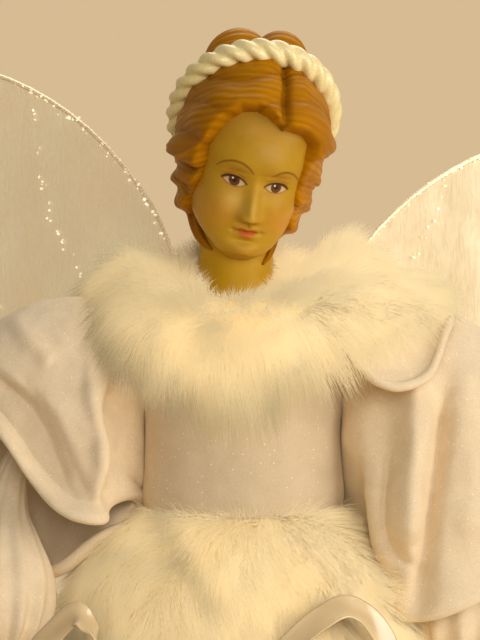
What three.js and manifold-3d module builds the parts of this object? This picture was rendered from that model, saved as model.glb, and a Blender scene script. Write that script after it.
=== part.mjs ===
// Angel tree topper. A painted resin head and hands on a wire-armed body, dressed in velvet and
// fur, with wire-framed wings, on a hollow cone that slips over the top of a tree.
// Millimetres, +Z up, the front towards -Y, the origin at the middle of the cone's base.

import * as THREE from "three";
import { mergeVertices } from "three/addons/utils/BufferGeometryUtils.js";
import Module from "manifold-3d";

const wasm = await Module();
wasm.setup();

const { PI, cos, sin, sqrt, abs, min, max, sign, exp } = Math;
const vec = (x, y, z) => new THREE.Vector3(x, y, z);
const rad = THREE.MathUtils.degToRad;
const mix = THREE.MathUtils.lerp;
const step = THREE.MathUtils.smoothstep;
const SIDES = { left: -1, right: 1 };

// Driving dimensions

const CLEARANCE = 0.3; // between pieces that touch
const VELVET = 1.2; // velvet with its lining

const CONE = { height: 222, baseRadius: 66, topRadius: 14, wall: 1.5, rim: 5 };
const CORE = { height: 58, plugDepth: 12 };
const POST = { radius: 2.5, ahead: 5.2, inCore: 22, inHead: 15 };
const ROD = { radius: 1.4, halfLength: 39, y: 1, below: 5.5 };
const STOP = { radius: 3.2, length: 2.4 };
const EYE = { x: 34, wire: 0.9 };

const BODICE = { bottom: 9, top: 54, armhole: 8 }; // its edges above the core's base
const SKIRT = { hem: 1, flare: 8, folds: 14, foldDepth: 4.5 }; // flare: how far the hem clears the cone
const PEPLUM = { above: 14.7, fall: 47, width: 42, depth: 41, thickness: 9, puff: 2.5 };
const COLLAR = {
  x: 3, neckRadius: 13, width: 42, front: 30, back: 17, thickness: 9, puff: 3,
  neckRise: 6.5, neckEdge: 14.7, frontEdge: -21.3, backEdge: -10.3, sideEdge: 9.7, rightDrop: 3,
};

const HEAD = { x: 1.2, y: -3, above: 39.7, height: 44.5, yaw: 10, pitch: 14, roll: 12 };
const NECK = { x: -2, y: 1, baseRadius: 10.5, topRadius: 8.4, height: 26 };
const PLATE = { halfWidth: 17, halfDepth: 9.5, edge: 1.5 };
const HAIR = {
  y: 3, z: 8, width: 19, front: 19, back: 21, up: 21.5, down: 27, locks: 14, lockDepth: 0.55,
};
const BUN = { apart: 5.2, y: 15, z: 23, radius: 9.6 };
const BAND = {
  y: 9.5, z: 12.5, tilt: 58, halfWidth: 20.3, halfLength: 21.7, rope: 3, turns: 15, strands: 2,
};

const ARM = { upper: 40, forearm: 50, inHand: 6 };
const POSE = {
  left: { spread: 40, drop: 72, turnIn: 0, hemLift: 0.5, hemTurn: 15, drape: 9, mouth: 22, length: 55 },
  right: { spread: 34, drop: 86, turnIn: 2, hemLift: 0.12, hemTurn: 15, drape: 7, mouth: 22, length: 60 },
};
const SLEEVE = { armhole: 7, shoulder: 12.5, depth: 16, folds: 6, foldDepth: 1.9 };
const PUFF = { radius: 11, cuff: 2.6 };
const HAND = { wrist: 3, palm: 12, palmWidth: 4.7, palmDepth: 2.3, finger: 8.2, fingerRadius: 1.1 };

const HINGE = { x: 8, y: 23.5, overPeplum: 0.3, stem: 26, wire: 0.6, knuckle: 2.6, knuckleLength: 5 };
const WING = { span: 112, rise: 116, sweep: 20, leanRight: 12.7, panel: 0.5 };
const BRACKET = { halfWidth: 11, back: 21.6, tackHead: 3, tackShank: 0.8, tackDepth: 8, tackInset: 6 };

const BOW = { x: -6, aboveHem: 6.5, loop: 39.5, ribbon: 6, thick: 0.5, knot: 4, tail: 62 };

// Levels and places worked out from those

const coreBase = CONE.height + CLEARANCE;
const coreTop = coreBase + CORE.height;
const plateBase = coreTop + CLEARANCE;
const rodHeight = coreTop - ROD.below;
const peplumTop = coreBase + PEPLUM.above;
const peplumHem = peplumTop - PEPLUM.fall;
const stemBase = peplumTop + HINGE.overPeplum;

// Curves and formulas

// A smooth curve through [place, value] pairs, level beyond both ends.
function through(...pairs) {
  const last = pairs.length - 1;
  const slope = pairs.map((_, i) => {
    const [from, to] = [pairs[max(i - 1, 0)], pairs[min(i + 1, last)]];
    return (to[1] - from[1]) / (to[0] - from[0]);
  });
  return (at) => {
    if (at <= pairs[0][0]) return pairs[0][1];
    if (at >= pairs[last][0]) return pairs[last][1];
    const i = pairs.findIndex((pair) => pair[0] > at) - 1;
    const span = pairs[i + 1][0] - pairs[i][0];
    const t = (at - pairs[i][0]) / span;
    const a = (1 + 2 * t) * (1 - t) ** 2 * pairs[i][1] + t ** 2 * (3 - 2 * t) * pairs[i + 1][1];
    return a + t * (1 - t) ** 2 * span * slope[i] + t ** 2 * (t - 1) * span * slope[i + 1];
  };
}

const hump = (x, z, wide, high) => exp(-((x / wide) ** 2) - (z / high) ** 2);
const turns = (count, point) => Array.from({ length: count }, (_, i) => point((i / count) * 2 * PI));
const steps = (count, point) => Array.from({ length: count + 1 }, (_, i) => point(i / count));
const ellipse = (count, a, b, z) => turns(count, (t) => vec(a * cos(t), b * sin(t), z));

// Geometry

// Turns a closed surface right side out.
function facingOut(geometry) {
  const p = geometry.attributes.position;
  const index = geometry.index.array;
  const [a, b, c] = [vec(), vec(), vec()];
  let volume = 0;
  for (let i = 0; i < index.length; i += 3) {
    a.fromBufferAttribute(p, index[i]);
    b.fromBufferAttribute(p, index[i + 1]);
    c.fromBufferAttribute(p, index[i + 2]);
    volume += a.dot(b.cross(c));
  }
  if (volume < 0) {
    for (let i = 0; i < index.length; i += 3) {
      [index[i + 1], index[i + 2]] = [index[i + 2], index[i + 1]];
    }
  }
  return geometry;
}

// A skin through rings of equal count: capped at both ends, or with its last ring joined to its first.
function loft(rings, closed = false) {
  const count = rings[0].length;
  const points = rings.flat();
  const index = [];
  const spans = closed ? rings.length : rings.length - 1;
  for (let r = 0; r < spans; r++) {
    for (let i = 0; i < count; i++) {
      const next = (i + 1) % count;
      const [low, high] = [r * count, ((r + 1) % rings.length) * count];
      index.push(low + i, low + next, high + next, low + i, high + next, high + i);
    }
  }
  if (!closed) {
    for (const [row, flip] of [[0, true], [rings.length - 1, false]]) {
      const middle = rings[row].reduce((sum, p) => sum.add(p), vec(0, 0, 0)).divideScalar(count);
      const centre = points.push(middle) - 1;
      for (let i = 0; i < count; i++) {
        const [a, b] = [row * count + i, row * count + ((i + 1) % count)];
        index.push(...(flip ? [b, a, centre] : [a, b, centre]));
      }
    }
  }
  const geometry = new THREE.BufferGeometry().setFromPoints(points);
  geometry.setIndex(index);
  return facingOut(geometry);
}

// A wall with an open bore: the outer rings one way and the inner rings back.
const shell = (outer, inner) => loft([...outer, ...inner.slice().reverse()], true);

// A solid of revolution about Z from [radius, height] points.
function revolve(profile, segments) {
  const points = profile.map(([r, z]) => new THREE.Vector2(r, z));
  const made = new THREE.LatheGeometry(points, segments).rotateX(PI / 2);
  return facingOut(plain(made));
}

// A round bar from one point to another.
function bar(from, to, radius, sides = 12) {
  const way = to.clone().sub(from);
  const geometry = new THREE.CylinderGeometry(radius, radius, way.length(), sides);
  const turn = new THREE.Quaternion().setFromUnitVectors(vec(0, 1, 0), way.clone().normalize());
  return geometry.applyQuaternion(turn).translate(...from.clone().lerp(to, 0.5));
}

// A round wire along an open curve.
function wire(curve, radius, count, sides = 8) {
  const section = new THREE.Shape(turns(sides, (t) => new THREE.Vector2(radius * cos(t), radius * sin(t))));
  return new THREE.ExtrudeGeometry(section, { steps: count, extrudePath: curve, bevelEnabled: false });
}

// Rings along a curve in a plane, whose section may change along it and round it.
function ringsAlong(curve, count, sides, normal, radius, closed = false) {
  return Array.from({ length: closed ? count : count + 1 }, (_, i) => {
    const at = curve.getPointAt(i / count);
    const across = curve.getTangentAt(i / count).cross(normal).normalize();
    return turns(sides, (t) => {
      const r = radius(i / count, t);
      return at.clone().addScaledVector(across, r * cos(t)).addScaledVector(normal, r * sin(t));
    });
  });
}

// Positions only, with shared corners merged.
function plain(geometry) {
  const bare = geometry.clone();
  for (const name of Object.keys(bare.attributes)) {
    if (name !== "position") bare.deleteAttribute(name);
  }
  return mergeVertices(bare);
}

function solid(geometry) {
  const bare = plain(geometry);
  return new wasm.Manifold(
    new wasm.Mesh({
      numProp: 3,
      vertProperties: new Float32Array(bare.attributes.position.array),
      triVerts: new Uint32Array(bare.index.array),
    }),
  );
}

function surface(manifold) {
  const mesh = manifold.getMesh();
  const geometry = new THREE.BufferGeometry();
  geometry.setAttribute("position", new THREE.BufferAttribute(mesh.vertProperties, 3));
  return geometry.setIndex(new THREE.BufferAttribute(mesh.triVerts, 1));
}

const joined = (...geometries) => surface(geometries.map(solid).reduce((sum, next) => sum.add(next)));

function cut(base, ...tools) {
  return surface(tools.map(solid).reduce((left, tool) => left.subtract(tool), solid(base)));
}

// The largest body of a cut piece, without the crumbs that the cut leaves.
function largest(geometry) {
  const bodies = solid(geometry).decompose();
  return surface(bodies.reduce((best, next) => (next.volume() > best.volume() ? next : best)));
}

// Tree cone

const coneInner = (z) => mix(CONE.baseRadius, CONE.topRadius, z / CONE.height) - CONE.wall;

function treeCone() {
  const { baseRadius, topRadius, height, wall, rim } = CONE;
  const mouth = baseRadius - rim;
  return revolve(
    [[baseRadius, 0], [topRadius, height], [topRadius - wall, height], [coneInner(wall), wall],
      [mouth, wall], [mouth, 0], [baseRadius, 0]],
    32,
  );
}

// Torso

const coreWidth = through([0, 18], [10, 20.5], [30, 23], [46, 23.5], [54, 18.5], [CORE.height, 13]);
const coreDepth = through([0, 14], [10, 15], [30, 16], [46, 14.5], [54, 12], [CORE.height, 9.5]);

const torsoRings = (from, to, count, sides, out) =>
  steps(count, (t) => {
    const h = mix(from, to, t);
    return ellipse(sides, coreWidth(h) + out, coreDepth(h) + out, coreBase + h);
  });

const postEnds = [
  vec(NECK.x, NECK.y - POST.ahead, coreTop - POST.inCore),
  vec(NECK.x, NECK.y - POST.ahead, plateBase + POST.inHead),
];
const rodEnd = (x) => vec(x, ROD.y, rodHeight);
const tackHeights = [BRACKET.tackInset, HINGE.stem - BRACKET.tackInset].map((h) => stemBase + h);
const tackTip = coreDepth(stemBase - coreBase) - BRACKET.tackDepth;

const postHole = () => {
  const [low, high] = postEnds;
  const reach = vec(0, 0, CLEARANCE);
  return bar(low.clone().sub(reach), high.clone().add(reach), POST.radius + CLEARANCE, 16);
};
const rodHole = () => bar(rodEnd(-ROD.halfLength), rodEnd(ROD.halfLength), ROD.radius + CLEARANCE);
const tackHoles = () =>
  tackHeights.map((z) => {
    const radius = BRACKET.tackShank + CLEARANCE;
    return bar(vec(0, tackTip - CLEARANCE, z), vec(0, BRACKET.back + 1, z), radius, 8);
  });

function torsoCore() {
  const plug = CONE.topRadius - CONE.wall - CLEARANCE;
  const body = loft(torsoRings(0, CORE.height, 8, 24, 0));
  const foot = bar(vec(0, 0, CONE.height - CORE.plugDepth), vec(0, 0, coreBase + 1), plug, 24);
  return cut(joined(body, foot), postHole(), rodHole(), ...tackHoles());
}

const neckPost = () => bar(...postEnds, POST.radius, 16);
const shoulderRod = () => bar(rodEnd(-ROD.halfLength), rodEnd(ROD.halfLength), ROD.radius);

function rodStop(side) {
  const outer = ROD.halfLength - CLEARANCE;
  const ring = bar(rodEnd(side * (outer - STOP.length)), rodEnd(side * outer), STOP.radius, 16);
  return cut(ring, rodHole());
}

// Velvet bodice, with its armholes and the holes that the wing tacks pass through

// The widest that the bodice is beside the armhole, where the sleeve starts.
const armholeWidths = steps(4, (t) => coreWidth(rodHeight - coreBase - 1.4 * t * SLEEVE.armhole));
const sleeveStart = max(...armholeWidths) + 2 * CLEARANCE + VELVET;

function bodice() {
  const { bottom, top, armhole } = BODICE;
  const inner = torsoRings(bottom, top, 7, 24, CLEARANCE);
  const outer = torsoRings(bottom, top, 7, 24, CLEARANCE + VELVET);
  const holes = bar(rodEnd(-ROD.halfLength), rodEnd(ROD.halfLength), armhole, 16);
  return cut(shell(outer, inner), holes, ...tackHoles());
}

// Skirt: hanging cloth, gathered at the waist into folds that deepen to the hem

const skirtTop = coreBase + BODICE.bottom - CLEARANCE;
const waistRadius = coreWidth(BODICE.bottom) + CLEARANCE + VELVET;
const waistDepth = coreDepth(BODICE.bottom) + CLEARANCE + VELVET;
const hemRadius = CONE.baseRadius + SKIRT.flare;
const hipRadius = PEPLUM.depth - PEPLUM.thickness + 1;
const skirtRadius = through(
  [SKIRT.hem, hemRadius],
  [mix(SKIRT.hem, peplumHem, 0.42), mix(hemRadius, hipRadius, 0.32)],
  [mix(SKIRT.hem, peplumHem, 0.79), mix(hemRadius, hipRadius, 0.63)],
  [peplumHem, hipRadius],
  [skirtTop, waistRadius],
);

function skirtRing(z, inset) {
  const gather = (skirtTop - z) / (skirtTop - SKIRT.hem);
  const roundness = mix(waistDepth / waistRadius, 1, step(gather, 0, 0.25));
  return turns(SKIRT.folds * 4, (t) => {
    const fold = SKIRT.foldDepth * gather * cos(SKIRT.folds * t + 0.5 * sin(2 * t));
    const r = skirtRadius(z) + fold - inset;
    return vec(r * cos(t), r * roundness * sin(t), z);
  });
}

function skirt() {
  const rows = (inset) => steps(5, (t) => skirtRing(mix(SKIRT.hem, skirtTop, t), inset));
  return shell(rows(0), rows(VELVET));
}

// Fur trims: rings with a plump section between an inner edge and an outer edge

function plumpSection(t, from, to, thickness, puff) {
  const along = to.clone().sub(from);
  const flat = vec(cos(t), sin(t), 0);
  const out = flat.clone().addScaledVector(along, -flat.dot(along) / along.lengthSq()).normalize();
  return turns(12, (a) => {
    const w = (1 - cos(a)) / 2;
    const lift = (thickness / 2) * sin(a) + puff * sin(PI * w);
    return from.clone().addScaledVector(along, w).addScaledVector(out, lift);
  });
}

function peplumSection(t) {
  const { width, depth, thickness, puff } = PEPLUM;
  const h = PEPLUM.above - thickness / 2;
  const stand = CLEARANCE * 2 + VELVET + thickness / 16;
  const [wide, deep] = [coreWidth(h) + stand, coreDepth(h) + stand];
  const from = vec(wide * cos(t), deep * sin(t), peplumTop - thickness / 4);
  return plumpSection(t, from, vec(width * cos(t), depth * sin(t), peplumHem), thickness, puff);
}

const furPeplum = () => loft(turns(32, peplumSection), true);

// How far forward the peplum stands at a height.
function peplumFront(z) {
  const section = peplumSection(-PI / 2);
  const reaches = section.map((a, i) => {
    const b = section[(i + 1) % section.length];
    const within = (z - a.z) * (z - b.z) <= 0 && a.z !== b.z;
    return within ? mix(a.y, b.y, (z - a.z) / (b.z - a.z)) : 0;
  });
  return min(...reaches);
}

function furCollar() {
  const { x, neckRadius, width, front, back, thickness, puff } = COLLAR;
  const edgeMiddle = (COLLAR.frontEdge + COLLAR.backEdge) / 2;
  const edgeRise = (COLLAR.backEdge - COLLAR.frontEdge) / 2;
  const inner = (t) => {
    const z = COLLAR.neckEdge + COLLAR.neckRise * sin(t);
    return vec(NECK.x + neckRadius * cos(t), NECK.y + neckRadius * sin(t), coreTop + z);
  };
  const outer = (t) => {
    const reach = sin(t) < 0 ? front : back;
    const side = cos(t) ** 2;
    const z = mix(edgeMiddle + edgeRise * sin(t), COLLAR.sideEdge - COLLAR.rightDrop * cos(t), side);
    return vec(x + width * cos(t), NECK.y + reach * sin(t), coreTop + z);
  };
  return loft(turns(32, (t) => plumpSection(t, inner(t), outer(t), thickness, puff)), true);
}

// Head: the face, neck and shoulder plate are one casting. Its profiles are written for a head 44.5 mm
// tall from chin to crown, with heights from the line of the eyes, and grow with the head's height.

const PROFILE = { height: 44.5, chin: -19.5, crown: 25 };
const grown = HEAD.height / PROFILE.height;
const headWidth = through(
  [-19.5, 2.6], [-17.5, 6.2], [-13, 10.4], [-7, 12.9], [0, 14.2], [8, 15.2], [15, 14.4], [21, 10.2],
  [25, 2.5],
);
const headFront = through(
  [-19.5, -12.4], [-17, -15.4], [-12, -15.4], [-5, -15.6], [0, -15.2], [8, -16.6], [14, -16], [20, -11.5],
  [25, -2],
);
const headBack = through(
  [-19.5, -8], [-17, -3], [-13, 5], [-7, 12], [0, 17], [8, 19.5], [15, 18.3], [21, 12.6], [25, 3],
);

// How far the front of the face stands out from its plain egg, at x across and z up.
function faceRelief(x, z) {
  const aside = abs(x);
  const ridge = exp(-((x / 1.9) ** 2)) * step(-z, -2.5, 8.2) * (1 - step(-z, 8.6, 10.4));
  const sockets = -1.3 * hump(aside - 5.3, z - 0.3, 3.4, 2.2) + 0.7 * hump(aside - 5.3, z + 0.4, 2.3, 1.3);
  const cheeks = 0.8 * hump(aside - 7.3, z + 6.4, 4, 4) + 0.8 * hump(aside - 1.9, z + 8.5, 1.1, 1);
  const lips = 0.9 * hump(x, z + 10.5, 3, 0.8) + 1.1 * hump(x, z + 12.4, 2.4, 0.9);
  const mouth = -0.5 * hump(x, z + 11.4, 3.2, 0.4);
  const chin = 1 * hump(x, z + 17, 3, 2) - 0.4 * hump(x, z + 14, 3, 0.9);
  return 3.5 * ridge + sockets + cheeks + lips + mouth + chin;
}

// A level ring of the head, with closer points round the face.
function headRing(count, z, out) {
  const [front, back] = [headFront(z), headBack(z)];
  const middle = (front + back) / 2;
  const spare = out / grown;
  return turns(count, (u) => {
    const t = u - 0.45 * cos(u);
    const round = (c) => sign(c) * abs(c) ** 0.88;
    const x = (headWidth(z) + spare) * round(cos(t));
    const facing = step(-sin(t), 0.2, 0.75);
    const y = middle + ((back - front) / 2 + spare) * round(sin(t)) - facing * faceRelief(x, z);
    return vec(x, y, z).multiplyScalar(grown);
  });
}

const headPose = new THREE.Matrix4().makeRotationFromEuler(
  new THREE.Euler(rad(HEAD.pitch), rad(HEAD.roll), rad(HEAD.yaw), "YXZ"),
);
headPose.setPosition(HEAD.x, HEAD.y, coreTop + HEAD.above);

function skull(rows, count, out) {
  const rings = steps(rows, (t) => {
    const z = mix(PROFILE.chin, PROFILE.crown, (1 - cos(PI * mix(0.03, 0.97, t))) / 2);
    return headRing(count, z, out);
  });
  return loft(rings).applyMatrix4(headPose);
}

function neck(out) {
  const rings = steps(4, (t) => {
    const r = mix(NECK.baseRadius, NECK.topRadius, sin((PI / 2) * t)) + out;
    const ring = ellipse(20, r, r, plateBase + mix(1, NECK.height, t));
    return ring.map((p) => p.add(vec(NECK.x + t * 1.5, NECK.y - t * 1.5, 0)));
  });
  return loft(rings);
}

function head() {
  const { halfWidth, halfDepth, edge } = PLATE;
  const spread = through([0, 1], [edge, 1], [4, 0.8], [7, 0.55]);
  const plateRings = [0, edge, 4, 7].map((h) =>
    ellipse(24, halfWidth * spread(h), halfDepth * min(1, spread(h) * 1.3), plateBase + h).map((p) =>
      p.add(vec(NECK.x, NECK.y, 0)),
    ),
  );
  return cut(joined(skull(24, 34, 0), neck(0), loft(plateRings)), postHole());
}

// Hair: a cap parted in the middle whose locks sweep back to the ears, with a bun behind the rope band

// The share of the hair's full thickness, nothing over the face.
function hairCover(x, y, z) {
  if (y > 4) return 1;
  const peak = 2.2 * exp(-(((x - 0.6) / 2.2) ** 2));
  const top = (z + 4.5 + peak) / (z > -4.5 ? 22.5 : 20);
  const window = sqrt((x / 14.4) ** 2 + top ** 2);
  return max(step(window, 0.93, 1.06), step(y, -4, 4));
}

function hairPoint(across, around, out) {
  const way = vec(cos(across), -sin(across) * cos(around), sin(across) * sin(around));
  const depth = way.y < 0 ? HAIR.front : HAIR.back;
  const height = way.z > 0 ? HAIR.up : HAIR.down;
  const reach = 1 / sqrt((way.x / HAIR.width) ** 2 + (way.y / depth) ** 2 + (way.z / height) ** 2);
  const plainPoint = way.clone().multiplyScalar(reach).add(vec(0, HAIR.y, HAIR.z));
  const { x, y, z } = plainPoint;
  const locks = HAIR.lockDepth * cos(HAIR.locks * around + 1.2 * sin(3 * across));
  const parting = 1.3 * exp(-((x / 1.3) ** 2)) * step(z, 10, 18) * step(-y, -8, 2);
  const fringe = 2.4 * exp(-(((z - 15) / 7) ** 2)) * step(-y, 2, 11);
  const under = -7 * (1 - hairCover(x, y, z));
  return way.multiplyScalar(reach + locks + fringe - parting + under + out).add(vec(0, HAIR.y, HAIR.z));
}

function hairCap() {
  const rings = steps(16, (t) => {
    const across = PI * mix(0.035, 0.965, t);
    return turns(38, (around) => hairPoint(across, around, 0));
  });
  return loft(rings);
}

function bun(side) {
  const lobe = new THREE.SphereGeometry(BUN.radius, 12, 9).scale(0.82, 0.9, 1);
  return lobe.translate(side * BUN.apart, BUN.y, BUN.z);
}

// Rope band: strands twisted round a loop that runs over the crown and down behind

const bandNormal = vec(0, sin(rad(BAND.tilt)), cos(rad(BAND.tilt)));

class BandLoop extends THREE.Curve {
  getPoint(t, target = vec()) {
    const a = 2 * PI * t;
    const rise = BAND.halfLength * cos(a);
    const lean = rad(BAND.tilt);
    return target.set(BAND.halfWidth * sin(a), BAND.y - rise * cos(lean), BAND.z + rise * sin(lean));
  }
}

function ropeBand(out) {
  const lay = (s, t) => BAND.rope * (0.87 + 0.13 * cos(BAND.strands * (t - BAND.turns * PI * s)));
  const radius = out ? () => BAND.rope + out : lay;
  const count = out ? 40 : BAND.turns * 5;
  return loft(ringsAlong(new BandLoop(), count, 8, bandNormal, radius, true), true).applyMatrix4(headPose);
}

function hair() {
  const cap = joined(hairCap(), bun(-1), bun(1)).applyMatrix4(headPose);
  return largest(cut(cap, skull(16, 26, CLEARANCE * 1.8), neck(CLEARANCE), ropeBand(CLEARANCE)));
}

// Arms: a wire with an eye that turns on the shoulder rod, a hand, a puffed under-sleeve and a bell sleeve

// The places and directions of one arm, from its pose.
function armOf(name) {
  const side = SIDES[name];
  const pose = POSE[name];
  const [spread, drop, turnIn] = [pose.spread, pose.drop, pose.turnIn].map(rad);
  const shoulder = rodEnd(side * EYE.x);
  const down = vec(side * sin(spread), 0, -cos(spread));
  const elbow = shoulder.clone().addScaledVector(down, ARM.upper);
  const forward = vec(-side * sin(turnIn), -cos(drop), -sin(drop)).normalize();
  const wrist = elbow.clone().addScaledVector(forward, ARM.forearm);
  const inward = vec(-side * cos(spread), 0, -sin(spread));
  return { side, pose, shoulder, down, elbow, forward, wrist, inward };
}

const eyeRadius = ROD.radius + CLEARANCE + EYE.wire;

function armCurve(arm) {
  const { shoulder, down, elbow, forward, wrist } = arm;
  return new THREE.CatmullRomCurve3([
    shoulder.clone().add(vec(0, 0, -eyeRadius)),
    shoulder.clone().addScaledVector(down, ARM.upper * 0.45),
    elbow.clone().addScaledVector(down, -ARM.upper * 0.12),
    elbow.clone().addScaledVector(forward, ARM.forearm * 0.2),
    elbow.clone().addScaledVector(forward, ARM.forearm * 0.6),
    wrist.clone().addScaledVector(forward, ARM.inHand),
  ]);
}

function armWire(arm) {
  const eye = new THREE.TorusGeometry(eyeRadius, EYE.wire, 6, 14).rotateY(PI / 2);
  return joined(eye.translate(...arm.shoulder), wire(armCurve(arm), EYE.wire, 16, 6));
}

function hand(arm) {
  const { wrist, palm, palmWidth, palmDepth, finger, fingerRadius } = HAND;
  const widths = through([0, wrist], [3, wrist * 0.85], [7, palmWidth], [palm, palmWidth * 0.92]);
  const depths = through([0, wrist * 0.9], [3, wrist * 0.8], [7, palmDepth], [palm, palmDepth * 0.75]);
  const rings = steps(5, (t) => ellipse(12, widths(t * palm), depths(t * palm), t * palm));
  const limb = (x, z, length, lean, curl) =>
    new THREE.CapsuleGeometry(fingerRadius, length, 2, 6)
      .rotateX(PI / 2)
      .translate(0, 0, length / 2)
      .rotateX(curl)
      .rotateY(lean)
      .translate(x, 0, z);
  const spacing = fingerRadius * 1.95;
  const fingers = [-1.5, -0.5, 0.5, 1.5].map((place) =>
    limb(place * spacing, palm - 1.5, finger - 0.9 * abs(place + 0.5), place * 0.05, 0.22),
  );
  const thumb = limb(arm.side * -palmWidth * 0.75, palm * 0.5, finger * 0.72, arm.side * -0.5, 0.3);
  const turn = new THREE.Quaternion().setFromUnitVectors(vec(0, 0, 1), arm.forward);
  const made = joined(loft(rings), ...fingers, thumb).applyQuaternion(turn).translate(...arm.wrist);
  return cut(made, wireBore(arm));
}

// The space that the arm wire takes, a little longer than the wire.
function wireBore(arm) {
  const tip = arm.wrist.clone().addScaledVector(arm.forward, ARM.inHand + CLEARANCE);
  const start = arm.wrist.clone().addScaledVector(arm.forward, -2);
  return bar(start, tip, EYE.wire + CLEARANCE, 10);
}

function underSleeve(arm) {
  const curve = armCurve(arm);
  const cuffEnd = 1 - (ARM.inHand + CLEARANCE) / curve.getLength();
  const gathers = [[cuffEnd - 0.05, PUFF.cuff + 1.5], [cuffEnd, PUFF.cuff]];
  const radius = through([0.5, 5.5], [0.62, PUFF.radius], [0.78, PUFF.radius], ...gathers);
  const frames = curve.computeFrenetFrames(40, false);
  const ringAt = (s, r) => {
    const k = Math.round(s * 40);
    const at = curve.getPointAt(s);
    return turns(12, (t) => {
      const gather = r > EYE.wire * 2 ? 1 + 0.06 * cos(6 * t) : 1;
      return at.clone()
        .addScaledVector(frames.normals[k], r * gather * cos(t))
        .addScaledVector(frames.binormals[k], r * gather * sin(t));
    });
  };
  const rows = (r) => steps(8, (t) => ringAt(mix(0.5, cuffEnd, t), r(mix(0.5, cuffEnd, t))));
  return shell(rows(radius), rows(() => EYE.wire + CLEARANCE * 1.6));
}

// A point of the bell sleeve: s runs from the armhole to the hem and t goes round it, from the front.
function sleevePoint(arm, s, t, inset) {
  const { side, pose, shoulder, down, inward } = arm;
  const front = vec(0, -1, 0);
  const lift = 1 - pose.hemLift * (0.5 + 0.5 * cos(t - rad(pose.hemTurn))) * step(s, 0.2, 1);
  const reach = s * lift;
  const start = rodEnd(side * sleeveStart);
  const bend = step(reach, 0, 0.34);
  const middle = start.clone().lerp(shoulder.clone().addScaledVector(down, pose.length * reach), bend);
  const cap = [[0, SLEEVE.armhole], [0.16, SLEEVE.shoulder]];
  const along = through(...cap, [0.5, mix(SLEEVE.shoulder, pose.mouth, 0.55)], [1, pose.mouth])(reach);
  const across = through(...cap, [1, SLEEVE.depth])(reach);
  const upright = vec(0, 0, -1).lerp(inward, bend).normalize();
  const drape = pose.drape * step(reach, 0.25, 1);
  const fold = SLEEVE.foldDepth * step(reach, 0.15, 0.8) * cos(SLEEVE.folds * t + 1.5 * reach);
  return middle
    .addScaledVector(front, (across + fold - inset) * cos(t))
    .addScaledVector(upright, drape + (along + fold - inset) * sin(t));
}

function bellSleeve(arm) {
  const rows = (inset) => steps(7, (s) => turns(SLEEVE.folds * 4, (t) => sleevePoint(arm, s, t, inset)));
  return shell(rows(0), rows(VELVET));
}

// Wings: a wire bent to the outline, whose straight stem turns in the bracket, with a sheer panel in it

// The outline as [out, up] from the foot of the stem, the free part leaned outwards about its middle.
function wingOutline(lean) {
  const { stem } = HINGE;
  const straight = [-1, 4, stem / 2, stem - 4, stem + 1].map((up) => [0, up]);
  const free = [
    [0.054, 0.397], [0.143, 0.638], [0.33, 0.845], [0.554, 0.966], [0.768, 1], [0.955, 0.879], [1, 0.672],
    [0.92, 0.466], [0.768, 0.259], [0.571, 0.086], [0.393, 0.026], [0.232, 0.026], [0.089, 0],
  ];
  const [c, s] = [cos(rad(lean)), sin(rad(lean))];
  const leaned = free.map(([across, high]) => {
    const out = across * WING.span;
    const rise = high * WING.rise - stem / 2;
    return [out * c + rise * s, stem / 2 + rise * c - out * s];
  });
  return [...straight, ...leaned].map(([out, up]) => vec(out, 0, up));
}

const wingCurve = (lean) => new THREE.CatmullRomCurve3(wingOutline(lean), true, "centripetal");

function placedWing(geometry, side) {
  const turn = new THREE.Matrix4().makeRotationZ(rad(side > 0 ? WING.sweep : 180 - WING.sweep));
  return geometry.applyMatrix4(turn).translate(side * HINGE.x, HINGE.y, stemBase);
}

function wingFrame(side, lean) {
  const rings = ringsAlong(wingCurve(lean), 54, 6, vec(0, 1, 0), () => HINGE.wire, true);
  return placedWing(loft(rings, true), side);
}

// The knuckles of the bracket, on either hinge line, grown by a margin.
const knuckleGap = (HINGE.stem - 2 * HINGE.knuckleLength) / 3;
const knuckleLows = [knuckleGap, 2 * knuckleGap + HINGE.knuckleLength].map((low) => stemBase + low);

function knuckles(side, margin) {
  const at = (z) => vec(side * HINGE.x, HINGE.y, z);
  return knuckleLows.map((low) =>
    bar(at(low - margin), at(low + HINGE.knuckleLength + margin), HINGE.knuckle + margin, 12),
  );
}

function wingPanel(side, lean) {
  const inset = HINGE.wire + CLEARANCE;
  const curve = wingCurve(lean);
  const edge = Array.from({ length: 60 }, (_, i) => {
    const inwards = vec(0, 1, 0).cross(curve.getTangentAt(i / 60)).normalize();
    const p = curve.getPointAt(i / 60).addScaledVector(inwards, inset);
    return new THREE.Vector2(p.x, p.z);
  });
  const flat = { depth: WING.panel, bevelEnabled: false };
  const sheet = new THREE.ExtrudeGeometry(new THREE.Shape(edge), flat);
  const placed = placedWing(sheet.translate(0, 0, -WING.panel / 2).rotateX(PI / 2), side);
  return cut(placed, ...knuckles(side, CLEARANCE));
}

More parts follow.
